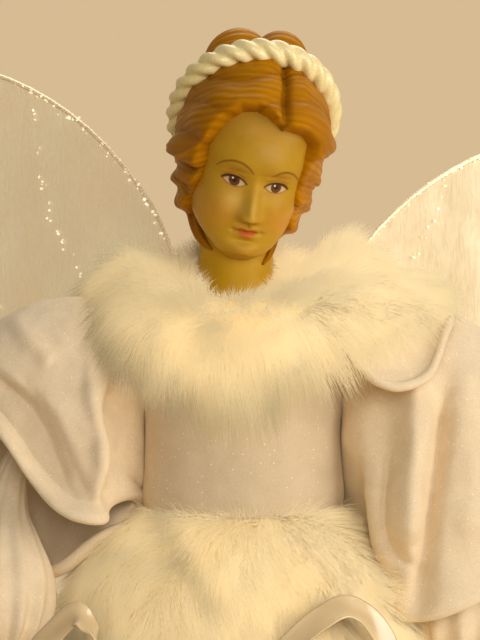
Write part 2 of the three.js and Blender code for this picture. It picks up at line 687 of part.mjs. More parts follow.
function wingBracket() {
  const { halfWidth, back } = BRACKET;
  const corner = 4;
  const outline = new THREE.Shape();
  const [w, h] = [halfWidth, HINGE.stem / 2];
  outline.moveTo(-w + corner, -h).lineTo(w - corner, -h);
  outline.absarc(w - corner, -h + corner, corner, -PI / 2, 0);
  outline.lineTo(w, h - corner).absarc(w - corner, h - corner, corner, 0, PI / 2);
  outline.lineTo(-w + corner, h).absarc(-w + corner, h - corner, corner, PI / 2, PI);
  outline.lineTo(-w, -h + corner).absarc(-w + corner, -h + corner, corner, PI, 1.5 * PI);
  const plate = new THREE.ExtrudeGeometry(outline, { depth: back, bevelEnabled: false, curveSegments: 3 })
    .rotateX(PI / 2)
    .translate(0, back, stemBase + h);
  const at = (side, z) => vec(side * HINGE.x, HINGE.y, z);
  const bores = [-1, 1].map((side) =>
    bar(at(side, stemBase - 5), at(side, stemBase + HINGE.stem + 5), HINGE.wire + CLEARANCE, 12),
  );
  const body = loft(torsoRings(0, CORE.height, 14, 24, 2 * CLEARANCE + VELVET));
  const blank = joined(plate, ...knuckles(-1, 0), ...knuckles(1, 0));
  return largest(cut(blank, ...bores, body, ...tackHoles()));
}

function wingTack(z) {
  const { back, tackHead, tackShank } = BRACKET;
  const face = back + CLEARANCE;
  const top = bar(vec(0, face, z), vec(0, face + 1, z), tackHead, 12);
  return joined(top, bar(vec(0, tackTip, z), vec(0, face + 0.5, z), tackShank, 8));
}

// Satin bow: two loops and two tails of ribbon, held by a knot

// A flat ribbon along a curve, its width along a direction that may change.
function ribbon(curve, count, widthAt) {
  const rings = steps(count, (s) => {
    const at = curve.getPointAt(s);
    const wide = widthAt(at, s);
    const thick = curve.getTangentAt(s).cross(wide).normalize();
    return [[-1, -1], [1, -1], [1, 1], [-1, 1]].map(([w, t]) =>
      at.clone().addScaledVector(wide, (w * BOW.ribbon) / 2).addScaledVector(thick, (t * BOW.thick) / 2),
    );
  });
  return loft(rings);
}

const bowHeight = peplumHem + BOW.aboveHem;
const KNOT_DEPTH = 0.85; // the knot's front to back, as a share of its width
const knotCentre = vec(BOW.x, peplumFront(bowHeight) - CLEARANCE - BOW.knot * KNOT_DEPTH, bowHeight);

const bowKnot = (out = 0) => {
  const size = BOW.knot + out;
  return new THREE.SphereGeometry(size, 14, 10).scale(1, KNOT_DEPTH, 1.05).translate(...knotCentre);
};

function bowLoop(side) {
  const route = [
    [0.04, 0, 0.025], [0.38, 0.025, 0.253], [0.684, 0.1, 0.443], [0.937, 0.228, 0.354],
    [1, 0.278, 0.127], [0.785, 0.177, -0.1], [0.405, 0.05, -0.127], [0.04, 0, -0.035],
  ];
  const place = ([x, y, z]) => knotCentre.clone().addScaledVector(vec(side * x, y, z), BOW.loop);
  const points = route.map(place);
  const centre = place([0.684, 0.177, 0.127]);
  const strip = ribbon(new THREE.CatmullRomCurve3(points), 26, (at) => {
    const inwards = centre.clone().sub(at).setY(0).normalize();
    return inwards.multiplyScalar(0.5).add(vec(0, -0.8, 0)).normalize();
  });
  return largest(cut(strip, bowKnot(CLEARANCE)));
}

function bowTail(side) {
  const route = [[0.113, -0.032, -0.3], [0.16, -0.145, -0.65], [0.242, -0.21, -1]];
  const start = vec(side * (BOW.ribbon / 2 + CLEARANCE), -0.15 * BOW.knot, -1.15 * BOW.knot);
  const place = ([x, y, z]) => knotCentre.clone().addScaledVector(vec(side * x, y, z), BOW.tail);
  const points = [start.add(knotCentre), ...route.map(place)];
  const strip = ribbon(new THREE.CatmullRomCurve3(points), 12, () => vec(1, 0, 0));
  return largest(cut(strip, bowKnot(CLEARANCE)));
}

// Assembly

const angel = new THREE.Group();

const PAINT = {
  card: [0xd8c9a6, 0.9, 0],
  foam: [0xe9e4d6, 0.95, 0],
  wood: [0xb98d58, 0.8, 0],
  steel: [0x9a9a98, 0.45, 0.9],
  skin: [0xd9b077, 0.4, 0],
  hair: [0xa8701c, 0.4, 0],
  pearl: [0xf1e2b8, 0.35, 0],
  velvet: [0xecdcbc, 0.85, 0],
  fur: [0xf3e2b9, 0.95, 0],
  satin: [0xf5e6bd, 0.3, 0],
  sheer: [0xeadab6, 0.5, 0],
  gilt: [0xc9a84e, 0.4, 0.8],
  plastic: [0xe6dcc4, 0.6, 0],
};

function add(name, geometry, paint) {
  const [color, roughness, metalness] = PAINT[paint];
  const mesh = new THREE.Mesh(geometry, new THREE.MeshStandardMaterial({ color, roughness, metalness }));
  mesh.name = name;
  angel.add(mesh);
}

add("tree_cone", treeCone(), "card");
add("torso_core", torsoCore(), "foam");
add("neck_post", neckPost(), "wood");
add("shoulder_rod", shoulderRod(), "steel");
add("head", head(), "skin");
add("hair", hair(), "hair");
add("headband_rope", ropeBand(0), "pearl");
add("bodice", bodice(), "velvet");
add("skirt", skirt(), "velvet");
add("fur_collar", furCollar(), "fur");
add("fur_peplum", furPeplum(), "fur");
add("bow_knot", bowKnot(), "satin");
add("wing_bracket", wingBracket(), "plastic");
tackHeights.forEach((z, i) => add(["wing_tack_lower", "wing_tack_upper"][i], wingTack(z), "steel"));

for (const [name, side] of Object.entries(SIDES)) {
  const arm = armOf(name);
  add(`rod_stop_${name}`, rodStop(side), "steel");
  add(`arm_wire_${name}`, armWire(arm), "steel");
  add(`hand_${name}`, hand(arm), "skin");
  add(`under_sleeve_${name}`, underSleeve(arm), "velvet");
  add(`bell_sleeve_${name}`, bellSleeve(arm), "velvet");
  const lean = side > 0 ? WING.leanRight : 0;
  add(`wing_frame_${name}`, wingFrame(side, lean), "gilt");
  add(`wing_panel_${name}`, wingPanel(side, lean), "sheer");
  add(`bow_loop_${name}`, bowLoop(side), "satin");
  add(`bow_tail_${name}`, bowTail(side), "satin");
}

export default angel;
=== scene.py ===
"""Angel tree topper: the painted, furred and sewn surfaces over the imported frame."""

import bpy
import numpy as np
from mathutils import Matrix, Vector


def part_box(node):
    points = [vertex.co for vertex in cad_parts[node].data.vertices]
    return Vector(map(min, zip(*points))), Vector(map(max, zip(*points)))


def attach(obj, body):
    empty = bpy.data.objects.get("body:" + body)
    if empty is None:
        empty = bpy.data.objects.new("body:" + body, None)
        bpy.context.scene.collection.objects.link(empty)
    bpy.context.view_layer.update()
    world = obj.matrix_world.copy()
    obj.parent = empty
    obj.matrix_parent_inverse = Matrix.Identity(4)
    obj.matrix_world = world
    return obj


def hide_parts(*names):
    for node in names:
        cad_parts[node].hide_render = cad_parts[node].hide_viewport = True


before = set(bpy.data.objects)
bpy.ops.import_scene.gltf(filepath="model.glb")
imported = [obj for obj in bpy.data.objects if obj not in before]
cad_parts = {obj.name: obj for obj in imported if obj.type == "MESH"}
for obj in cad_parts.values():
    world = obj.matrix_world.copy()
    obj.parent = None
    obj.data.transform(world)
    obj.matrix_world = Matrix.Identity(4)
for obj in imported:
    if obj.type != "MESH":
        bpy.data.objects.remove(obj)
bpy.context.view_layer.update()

MM = 0.001
PI = np.pi
SIDES = {"left": -1, "right": 1}
LATTICE = 24  # random values along each side of the block that cloudy reads
RUN_STEPS = 24  # points on a rail between two given ones
PAINT = "paint"  # the colours at a mesh's points


# Curves and soft randomness

def smooth(x, start, end):
    """A soft step from 0 to 1 between two values."""
    t = np.clip((np.asarray(x, float) - start) / (end - start), 0, 1)
    return t * t * (3 - 2 * t)


def bell(x, wide):
    return np.exp(-((x / wide) ** 2))


def hump(x, z, wide, high):
    return np.exp(-((x / wide) ** 2) - (z / high) ** 2)


def mix(a, b, t):
    return a + (b - a) * t


def through(*pairs):
    """A smooth curve through (place, value) pairs, level beyond both ends."""
    places, values = np.array(pairs, float).T
    last = len(places) - 1
    before = np.maximum(np.arange(last + 1) - 1, 0)
    after = np.minimum(np.arange(last + 1) + 1, last)
    slopes = (values[after] - values[before]) / (places[after] - places[before])

    def at(x):
        x = np.clip(x, places[0], places[-1])
        i = np.clip(np.searchsorted(places, x, side="right") - 1, 0, last - 1)
        span = places[i + 1] - places[i]
        t = (x - places[i]) / span
        ends = (1 + 2 * t) * (1 - t) ** 2 * values[i] + t ** 2 * (3 - 2 * t) * values[i + 1]
        return ends + t * (1 - t) ** 2 * span * slopes[i] + t ** 2 * (t - 1) * span * slopes[i + 1]

    return at


def rail(points, count, closed=False):
    """Evenly spaced points on a smooth line through a few given ones."""
    p = np.asarray(points, float)
    if closed:
        p = np.vstack([p[-1], p, p[0], p[1]])
    else:
        p = np.vstack([2 * p[0] - p[1], p, 2 * p[-1] - p[-2]])
    runs = []
    for a, b, c, d in zip(p[:-3], p[1:-2], p[2:-1], p[3:]):
        u = max(np.linalg.norm(b - a) ** 0.5, 1e-6)
        v = u + max(np.linalg.norm(c - b) ** 0.5, 1e-6)
        w = v + max(np.linalg.norm(d - c) ** 0.5, 1e-6)
        t = np.linspace(u, v, RUN_STEPS, endpoint=False)[:, None]
        ab = (u - t) / u * a + t / u * b
        bc = (v - t) / (v - u) * b + (t - u) / (v - u) * c
        cd = (w - t) / (w - v) * c + (t - v) / (w - v) * d
        abc = (v - t) / v * ab + t / v * bc
        bcd = (w - t) / (w - u) * bc + (t - u) / (w - u) * cd
        runs.append((v - t) / (v - u) * abc + (t - u) / (v - u) * bcd)
    line = np.vstack([*runs, p[-2:-1]])
    gone = np.concatenate([[0], np.cumsum(np.linalg.norm(np.diff(line, axis=0), axis=1))])
    at = np.linspace(0, gone[-1], count, endpoint=not closed)
    return np.column_stack([np.interp(at, gone, line[:, k]) for k in range(3)])


def upright(line, count, closed=False):
    """A rail in the plane that faces the viewer, through places given as across and up."""
    return rail([(a, 0, b) for a, b in line], count, closed)


def full_turn(count):
    """Even angles once round, without the last one that would repeat the first."""
    return np.linspace(0, 2 * PI, count, endpoint=False)


def oval(a, wide, deep, z, x=0, y=0):
    """Points at angles a round an upright line."""
    return np.column_stack([x + wide * np.cos(a), y + deep * np.sin(a), z + 0 * a])


def cloudy(points, size, seed):
    """Soft random values from -1 to 1, in lumps of about the given size."""
    lattice = np.random.default_rng(seed).uniform(-1, 1, (LATTICE,) * 3)
    scaled = np.asarray(points, float) / size
    cell = np.floor(scaled).astype(int)
    f = scaled - cell
    f = f * f * (3 - 2 * f)
    total = np.zeros(len(scaled))
    for corner in np.ndindex(2, 2, 2):
        weight = np.prod(np.where(corner, f, 1 - f), axis=1)
        x, y, z = ((cell + corner) % LATTICE).T
        total += weight * lattice[x, y, z]
    return total


def clouds(points, size, seed):
    """Three soft random values at each point."""
    return np.column_stack([cloudy(points, size, seed + k) for k in range(3)])


def unit(v):
    return v / np.maximum(np.linalg.norm(v, axis=-1, keepdims=True), 1e-9)


def square_to(ahead):
    """Two directions square to the one given and to each other."""
    first = unit(np.cross(ahead, [0.2, 1, 0.1]))
    return first, np.cross(ahead, first)


def beside(points, line, closed=False):
    """How far points lie from a line of straight runs, and how far along it, from 0 to 1."""
    line = np.asarray(line, float)
    ends = np.roll(line, -1, axis=0) if closed else line[1:]
    best = np.full(len(points), 1e9)
    along = np.zeros(len(points))
    runs = list(zip(line, ends))
    for k, (a, b) in enumerate(runs):
        t = np.clip((points - a) @ (b - a) / ((b - a) @ (b - a)), 0, 1)
        d = np.linalg.norm(points - (a + t[:, None] * (b - a)), axis=1)
        nearer = d < best
        best = np.where(nearer, d, best)
        along = np.where(nearer, (k + t) / len(runs), along)
    return best, along


def inside(points, outline):
    """Which points lie within a closed outline."""
    outline = np.asarray(outline, float)
    within = np.zeros(len(points), bool)
    for a, b in zip(outline, np.roll(outline, -1, axis=0)):
        crosses = (a[1] > points[:, 1]) != (b[1] > points[:, 1])
        height = b[1] - a[1] if b[1] != a[1] else 1e-9
        meet = a[0] + (points[:, 1] - a[1]) / height * (b[0] - a[0])
        within ^= crosses & (points[:, 0] < meet)
    return within


def tone(red, green, blue):
    """A colour as the eye reads it, from 0 to 255, made linear."""
    c = np.array([red, green, blue]) / 255
    return np.where(c <= 0.04045, c / 12.92, ((c + 0.055) / 1.055) ** 2.4)


# Pieces

def start(name, add, **sizes):
    """A primitive to start a piece from, alone in the selection."""
    bpy.ops.object.select_all(action="DESELECT")
    add(**sizes)
    piece = bpy.context.object
    piece.name = name
    piece.data.name = name
    return piece


def spots(piece):
    """The places of a mesh's points, as they are stored."""
    co = np.empty(len(piece.data.vertices) * 3)
    piece.data.vertices.foreach_get("co", co)
    return co.reshape(-1, 3)


def settle(piece, points):
    """Moves a mesh's points to places given in millimetres."""
    piece.data.vertices.foreach_set("co", (points * MM).ravel())
    piece.data.update()


def alone(piece):
    """Makes a piece the only one that is selected, and the active one."""
    bpy.ops.object.select_all(action="DESELECT")
    piece.select_set(True)
    bpy.context.view_layer.objects.active = piece


def all_over(piece, *steps):
    """Takes steps on the whole of a mesh, each given with its settings."""
    alone(piece)
    bpy.ops.object.mode_set(mode="EDIT")
    bpy.ops.mesh.select_all(action="SELECT")
    for step, settings in steps:
        step(**settings)
    bpy.ops.object.mode_set(mode="OBJECT")


OUTWARDS = (bpy.ops.mesh.normals_make_consistent, {"inside": False})


def tidy_up(piece, gap=1e-6):
    """Closes the seams, turns the faces outwards and shades them smooth."""
    all_over(piece, (bpy.ops.mesh.remove_doubles, {"threshold": gap}), OUTWARDS)
    bpy.ops.object.shade_smooth()


def close_ends(piece):
    """Fills the open ends of a tube."""
    all_over(piece, (bpy.ops.mesh.fill_holes, {"sides": 0}), OUTWARDS)


def apply(piece, kind, **settings):
    """Adds one modifier and applies it."""
    alone(piece)
    modifier = piece.modifiers.new(kind.title(), kind)
    for key, value in settings.items():
        setattr(modifier, key, value)
    bpy.ops.object.modifier_apply(modifier=modifier.name)


def unit_ball(name, segments, rings):
    """A ball to start a piece from, and the places of its points."""
    piece = start(name, bpy.ops.mesh.primitive_uv_sphere_add, segments=segments, ring_count=rings, radius=1)
    return piece, spots(piece)


def pattern_of(piece):
    """The points and faces of a piece that only serves as a pattern and is then removed."""
    points = spots(piece)
    faces = [tuple(p.vertices) for p in piece.data.polygons]
    bpy.data.objects.remove(piece)
    return points, faces


def many(name, copies, faces):
    """One mesh of many copies of a pattern, each given as its points in millimetres."""
    piece = start(name, bpy.ops.mesh.primitive_cone_add, vertices=3)
    piece.data.clear_geometry()
    firsts = np.arange(len(copies)) * copies.shape[1]
    every = [f for face in faces for f in (np.asarray(face)[None] + firsts[:, None]).tolist()]
    piece.data.from_pydata((copies.reshape(-1, 3) * MM).tolist(), [], every)
    return piece


def cloth(name, points, thickness=0, offset=-1):
    """A sheet through rows of points in millimetres, joined where its edges meet."""
    rows, columns = points.shape[:2]
    piece = start(name, bpy.ops.mesh.primitive_grid_add, size=1,
                  x_subdivisions=columns - 1, y_subdivisions=rows - 1)
    at = spots(piece)
    i = np.rint((at[:, 0] + 0.5) * (columns - 1)).astype(int)
    j = np.rint((at[:, 1] + 0.5) * (rows - 1)).astype(int)
    settle(piece, points[j, i])
    tidy_up(piece)
    if thickness:
        apply(piece, "SOLIDIFY", thickness=thickness * MM, offset=offset, use_even_offset=False)
        bpy.ops.object.shade_smooth()
    return piece


def closed_round(points):
    """Rows of points whose last column repeats the first."""
    return np.concatenate([points, points[:, :1]], axis=1)


def facing(points):
    """The directions that a grid of points faces."""
    down = np.gradient(points, axis=0)
    over = np.gradient(points, axis=1)
    return unit(np.cross(over, down))


def evened(values, reach):
    """A running mean round each closed ring of a grid."""
    return sum(np.roll(values, k, axis=-2) for k in range(-reach, reach + 1)) / (2 * reach + 1)


def paint(piece, colours):
    """Colours at a mesh's points, for its finish to read."""
    layer = piece.data.color_attributes.new(PAINT, "FLOAT_COLOR", "POINT")
    rgba = np.ones((len(colours), 4))
    rgba[:, :3] = colours
    layer.data.foreach_set("color", rgba.ravel())


def wear(piece, finish):
    piece.data.materials.clear()
    piece.data.materials.append(finish)


def fit(piece, finish, body, slot, *nodes):
    """Gives a piece its finish and its place on the frame."""
    wear(piece, finish)
    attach(piece, body)
    if nodes:
        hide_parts(*nodes)


# Finishes

def opaque(colour):
    return colour if isinstance(colour, bpy.types.NodeSocket) else (*colour, 1)


def add_node(tree, kind, feeds=None, **settings):
    """Adds a shader node, sets it up, and links or fills its inputs."""
    made = tree.nodes.new("ShaderNode" + kind)
    for key, value in settings.items():
        setattr(made, key, value)
    for key, value in (feeds or {}).items():
        socket = made.inputs[key]
        if isinstance(value, bpy.types.NodeSocket):
            tree.links.new(value, socket)
        else:
            socket.default_value = value
    return made


class Finish:
    """A procedural material, put together node by node."""

    def __init__(self, name, rough, **settings):
        self.material = bpy.data.materials.new(name)
        self.material.use_nodes = True
        self.tree = self.material.node_tree
        self.shader = self.tree.nodes["Principled BSDF"]
        for key, value in {"roughness": rough, **settings}.items():
            socket = self.shader.inputs[key.replace("_", " ").title().replace("Ior", "IOR")]
            socket.default_value = opaque(value) if np.ndim(value) else value
        self.where = self.node("TexCoord").outputs

    def node(self, kind, feeds=None, **settings):
        return add_node(self.tree, kind, feeds, **settings)

    def feed(self, socket, value):
        self.tree.links.new(value, self.shader.inputs[socket])

    def stretched(self, place, scale):
        return self.node("Mapping", {"Vector": place, "Scale": scale}).outputs["Vector"]

    def noise(self, place, scale, detail=2, rough=0.5, bend=0):
        feeds = {"Vector": place, "Scale": scale, "Detail": detail, "Roughness": rough, "Distortion": bend}
        return self.node("TexNoise", feeds).outputs["Fac"]

    def wave(self, place, scale, bend):
        feeds = {"Vector": place, "Scale": scale, "Distortion": bend, "Detail": 0, "Detail Scale": 1}
        return self.node("TexWave", feeds, wave_type="BANDS", bands_direction="X").outputs["Fac"]

    def maths(self, way, a, b):
        return self.node("Math", {0: a, 1: b}, operation=way).outputs[0]

    def together(self, a, share_a, b, share_b):
        return self.maths("ADD", self.maths("MULTIPLY", a, share_a), self.maths("MULTIPLY", b, share_b))

    def between(self, value, low, high, to_low=0, to_high=1):
        feeds = {0: value, 1: low, 2: high, 3: to_low, 4: to_high}
        return self.node("MapRange", feeds, clamp=True).outputs[0]

    def blend(self, share, first, second, way="MIX"):
        feeds = {0: share, 6: opaque(first), 7: opaque(second)}
        return self.node("Mix", feeds, data_type="RGBA", blend_type=way).outputs[2]

    def tones(self, value, low, high, dark, light):
        """One tone up to the low value, another from the high value on."""
        return self.blend(self.between(value, low, high), dark, light)

    def painted(self):
        return self.node("Attribute", attribute_name=PAINT).outputs["Color"]

    def bump(self, height, depth, strength):
        made = self.node("Bump", {"Height": height, "Distance": depth * MM, "Strength": strength})
        self.feed("Normal", made.outputs["Normal"])


def skin_paint():
    f = Finish("skin_paint", 0.36, specular_ior_level=0.35, specular_tint=tone(255, 226, 170))
    place = f.where["Object"]
    shade = f.between(f.noise(place, 260, 3, 0.6), 0.3, 0.7, 0.94, 1.04)
    mottle = f.node("CombineColor", {0: shade, 1: shade, 2: shade}).outputs[0]
    f.feed("Base Color", f.blend(1.0, f.painted(), mottle, "MULTIPLY"))
    f.feed("Roughness", f.between(f.noise(place, 900, 2), 0.3, 0.7, 0.4, 0.5))
    f.bump(f.noise(place, 1400, 2), 0.02, 0.25)
    return f.material


def hair_paint():
    f = Finish("hair_paint", 0.42, specular_ior_level=0.25, specular_tint=tone(255, 200, 96))
    place = f.where["UV"]
    lines = f.wave(place, 24, 2.0)
    hairs = f.noise(f.stretched(place, (120, 4, 1)), 1, 2, 0.5, 0.5)
    patches = f.between(f.noise(f.stretched(place, (9, 5, 1)), 1, 2), 0.38, 0.62, 0.05, 0.27)
    height = f.together(lines, patches, hairs, 0.5)
    # Painted shade and highlight: darker where the bump's height is low, in the grooves between strands, and
    # lighter on the raised strands.
    groove_shaded = f.tones(height, 0.12, 0.56, tone(162, 100, 3), tone(190, 129, 6))
    f.feed("Base Color", f.blend(1.0, groove_shaded, f.painted(), "MULTIPLY"))
    f.feed("Roughness", f.between(height, 0.15, 0.6, 0.5, 0.38))
    f.bump(height, 0.2, 0.45)
    return f.material


def pearl_rope():
    f = Finish("pearl_rope", 0.3, sheen_weight=0.2, sheen_tint=tone(255, 246, 214), coat_weight=0.4,
               coat_roughness=0.2)
    parts = f.node("SeparateXYZ", {0: f.where["UV"]}).outputs
    across = f.maths("SUBTRACT", parts[1], f.maths("MULTIPLY", parts[0], ROPE["turns"]))
    lay = f.node("CombineXYZ", {0: across, 1: parts[0], 2: 0.0}).outputs[0]
    fibres = f.noise(f.stretched(lay, (46, 120, 1)), 1, 2, 0.6)
    spun = f.tones(fibres, 0.3, 0.7, tone(226, 205, 146), tone(244, 227, 172))
    f.feed("Base Color", f.blend(1.0, spun, f.painted(), "MULTIPLY"))
    f.bump(fibres, 0.05, 0.4)
    return f.material


def fur_hairs():
    f = Finish("fur_hairs", 0.8, specular_ior_level=0.15, sheen_weight=0.35, sheen_tint=tone(255, 244, 206))
    f.feed("Base Color", f.painted())
    return f.material


def fur_backing():
    f = Finish("fur_backing", 0.9, specular_ior_level=0.1)
    weave = f.noise(f.where["Object"], 900, 2)
    f.feed("Base Color", f.tones(weave, 0.3, 0.7, tone(236, 208, 154), tone(248, 224, 172)))
    f.bump(weave, 0.3, 0.5)
    return f.material


def velvet(name, dark, light):
    """A crushed nap with fine flecks that sparkle."""
    f = Finish(name, 0.75, specular_ior_level=0.2, sheen_weight=0.35, sheen_roughness=0.4,
               sheen_tint=tone(255, 240, 205))
    place = f.where["Object"]
    crushed = f.noise(place, 130, 3, 0.55, 0.8)
    nap = f.noise(place, 2400, 2, 0.6)
    both = f.together(crushed, 0.45, nap, 0.55)
    flecks = f.node("TexVoronoi", {"Vector": place, "Scale": 900.0, "Randomness": 1.0}).outputs
    near = f.between(flecks["Distance"], 0.09, 0.17, 1, 0)
    chosen = f.between(f.node("SeparateColor", {0: flecks["Color"]}).outputs[0], 0.72, 0.74)
    fleck = f.maths("MULTIPLY", near, chosen)
    cloth_tone = f.tones(both, 0.34, 0.66, dark, light)
    f.feed("Base Color", f.blend(f.maths("MULTIPLY", fleck, 0.8), cloth_tone, tone(255, 250, 232)))
    f.feed("Roughness", f.between(fleck, 0, 1, 0.75, 0.18))
    f.bump(both, 0.35, 0.2)
    return f.material


def organza():
    f = Finish("organza", 0.45, specular_ior_level=0.4, sheen_weight=0.4)
    place = f.where["UV"]
    threads = f.noise(f.stretched(place, (90, 14, 1)), 1, 3, 0.6, 1.2)
    cloudiness = f.noise(f.stretched(place, (9, 5, 1)), 1, 3, 0.6, 0.6)
    both = f.together(threads, 0.42, cloudiness, 0.58)
    f.feed("Base Color", f.tones(both, 0.35, 0.65, tone(240, 216, 170), tone(255, 241, 205)))
    f.feed("Alpha", f.between(both, 0.3, 0.7, 0.5, 0.88))
    f.bump(threads, 0.2, 0.5)
    return f.material


def glitter():
    # The flakes glow a little though they are no lamp: a painted sparkle.
    f = Finish("glitter", 0.15, specular_ior_level=0.9, emission_strength=0.5,
               emission_color=tone(255, 240, 205))
    hue = f.noise(f.where["Object"], 420, 1)
    f.feed("Base Color", f.tones(hue, 0.35, 0.65, tone(255, 236, 190), tone(250, 252, 255)))
    return f.material


def satin():
    f = Finish("satin", 0.22, specular_ior_level=0.9, sheen_weight=0.15, anisotropic=0.6, coat_weight=0.35,
               coat_roughness=0.2)
    place = f.where["UV"]
    threads = f.noise(f.stretched(place, (3, 300, 1)), 1, 1)
    sweep = f.noise(f.stretched(place, (1.2, 7, 1)), 1, 1)
    both = f.together(threads, 0.04, sweep, 0.96)
    f.feed("Base Color", f.tones(both, 0.3, 0.7, tone(200, 171, 127), tone(226, 199, 153)))
    f.feed("Roughness", f.between(both, 0.3, 0.7, 0.22, 0.3))
    f.bump(threads, 0.003, 0.2)
    return f.material


def plain_stuff(name, rough, dark, light, scale, stretch=(1, 1, 1), bumpy=0.1, **settings):
    """Card, pulp, wood, wire, plastic and paper: two close tones and a fine relief."""
    f = Finish(name, rough, **settings)
    grain = f.noise(f.stretched(f.where["Object"], stretch), scale, 4, 0.6)
    f.feed("Base Color", f.tones(grain, 0.32, 0.68, dark, light))
    f.feed("Roughness", f.between(grain, 0.3, 0.7, rough - 0.06, min(rough + 0.08, 1)))
    f.bump(grain, bumpy, 0.4)
    return f.material


# Sizes in millimetres and angles in degrees, the same as the part's own or close to them

CORE_BASE = 222.3
CORE_TOP = 280.3
PLATE_BASE = 280.6
ROD_HEIGHT = 274.8
VELVET = 1.2
NECK = {"x": -2, "y": 1, "base": 10.5, "top": 8.4, "height": 26}
HEAD = {"x": 1.2, "y": -3, "z": 320, "yaw": 10, "pitch": 14, "roll": 12}
HAIR = {"y": 3, "z": 8, "width": 19, "front": 19, "back": 21, "up": 21.5, "down": 28}
ROPE = {"y": 9.5, "z": 13.4, "tilt": 58, "wide": 19.1, "long": 21.7, "thick": 3.25, "turns": 9,
        "strands": 3}
PEPLUM = {"top": 237, "hem": 190, "width": 42, "depth": 41, "thick": 9, "puff": 2.5}
COLLAR = {"x": 3, "y": 1, "neck": 12.3, "thick": 9, "puff": 3}
BOW = {"loop": 39.5, "ribbon": 6, "knot": 4, "tail": 62}
HINGE = {"x": 8, "y": 23.5, "z": 237.3, "stem": 26}
WING = {"span": 112, "rise": 116, "sweep": 20, "lean": 12.7}
BODICE = {"low": 9, "high": 54, "gap": 0.3, "side": 25.1}  # heights from the foot of the core
ARMHOLE = {"x": 25.8, "y": 1, "radius": 7.2}
SLEEVE_SIDE = 25.4  # the sleeves stay this far from the middle, clear of the bodice
ARM = {"x": 34, "y": 1, "upper": 40, "fore": 50}

# What only this script adds
FUR = {"hairs": 46000, "pieces": 4, "length": 11.5, "thin": 0.072, "thick": 0.13, "root": 0.55}
GLITTER = {"edge": 240, "vein": 46, "spread": 0.5, "small": 0.22, "large": 0.48}
THICK = {"bodice": 0.8, "skirt": 0.9, "bell": 1.1, "cap": 0.5, "under": 0.8, "ribbon": 0.4}
HAND_GRAIN = 0.32
PANEL_PATTERN = 115  # millimetres of a wing's panel to one run of its pattern

core_width = through((0, 18), (10, 20.5), (30, 23), (46, 23.5), (54, 18.5), (58, 13))
core_depth = through((0, 14), (10, 15), (30, 16), (46, 14.5), (54, 12), (58, 9.5))


# Camera, light and floor

CAMERA = {"place": (-0.00075, -0.65, 0.283), "sensor": 36, "lens": 144}
AIM = np.array([0, 0, 0.27])
LAMPS = (
    ("key_light", (0.88, -0.56, 0.46), 0.7, 6.6, (1, 0.955, 0.87)),
    ("front_light", (0.1, -0.94, 0.55), 0.6, 3.55, (1, 0.965, 0.89)),
    ("top_light", (0.1, 0.4, 1.0), 0.7, 3.2, (1, 0.97, 0.9)),
)
ROOM_LIGHT = (1, 0.97, 0.91)
ROOM_STRENGTH = 0.22
FLOOR_RADIUS = 1.1


def camera_and_lamps():
    scene = bpy.context.scene
    scene.view_settings.view_transform = "Standard"
    bpy.ops.object.camera_add(location=CAMERA["place"], rotation=(PI / 2, 0, 0))
    scene.camera = bpy.context.object
    scene.camera.data.sensor_fit = "AUTO"
    scene.camera.data.sensor_width = CAMERA["sensor"]
    scene.camera.data.lens = CAMERA["lens"]
    for name, place, size, power, colour in LAMPS:
        bpy.ops.object.light_add(type="AREA", location=place)
        lamp = bpy.context.object
        lamp.name = name
        lamp.data.shape = "DISK"
        lamp.data.size = size
        lamp.data.energy = power
        lamp.data.color = colour
        way = AIM - np.array(place)
        flat = np.hypot(way[0], way[1])
        lamp.rotation_euler = (np.arctan2(flat, -way[2]), 0, np.arctan2(way[1], way[0]) - PI / 2)


def backdrop_and_floor():
    """Soft light from all round, a plain backdrop for what is seen past the figure, and a paper floor."""
    world = bpy.data.worlds.new("studio")
    world.use_nodes = True
    bpy.context.scene.world = world
    tree = world.node_tree
    tree.nodes.clear()
    ray = add_node(tree, "LightPath").outputs
    seen = add_node(tree, "Math", {0: ray["Is Camera Ray"], 1: ray["Is Glossy Ray"]}, operation="ADD")
    through_cloth = {0: seen.outputs[0], 1: ray["Is Transmission Ray"]}
    seen = add_node(tree, "Math", through_cloth, operation="ADD", use_clamp=True)
    light = add_node(tree, "Background", {"Color": opaque(ROOM_LIGHT), "Strength": ROOM_STRENGTH})
    backdrop = add_node(tree, "Background", {"Color": opaque(tone(214, 187, 147)), "Strength": 1})
    choice = add_node(tree, "MixShader", {0: seen.outputs[0], 1: light.outputs[0], 2: backdrop.outputs[0]})
    add_node(tree, "OutputWorld", {0: choice.outputs[0]})

    floor = start("floor", bpy.ops.mesh.primitive_circle_add, vertices=96, radius=FLOOR_RADIUS,
                  fill_type="NGON")
    wear(floor, plain_stuff("floor_paper", 0.9, tone(222, 200, 164), tone(228, 207, 172), 9, bumpy=0.05))


# Head

def turn(axis, degrees):
    c, s = np.cos(np.radians(degrees)), np.sin(np.radians(degrees))
    a, b = [(1, 2), (2, 0), (0, 1)]["XYZ".index(axis)]
    m = np.eye(3)
    m[a, a] = m[b, b] = c
    m[a, b] = -s
    m[b, a] = s
    return m


HEAD_TURN = turn("Y", HEAD["roll"]) @ turn("X", HEAD["pitch"]) @ turn("Z", HEAD["yaw"])


def on_head(points):
    """Places given on the upright head, moved to where the tilted head is."""
    return points @ HEAD_TURN.T + np.array([HEAD["x"], HEAD["y"], HEAD["z"]])


head_width = through((-19.5, 2.6), (-17.5, 6.2), (-13, 10.4), (-7, 12.9), (0, 14.2), (8, 15.2), (15, 14.4),
                     (21, 10.2), (25, 2.5))
head_front = through((-19.5, -12.4), (-17, -15.4), (-12, -15.4), (-5, -15.6), (0, -15.2), (8, -16.6),
                     (14, -16), (20, -11.5), (25, -2))
head_back = through((-19.5, -8), (-17, -3), (-13, 5), (-7, 12), (0, 17), (8, 19.5), (15, 18.3), (21, 12.6),
                    (25, 3))

EYES = ((-5.25, 0.45, -0.09), (5.45, 0.35, 0.02))
MOUTH = (0.2, -11.5)


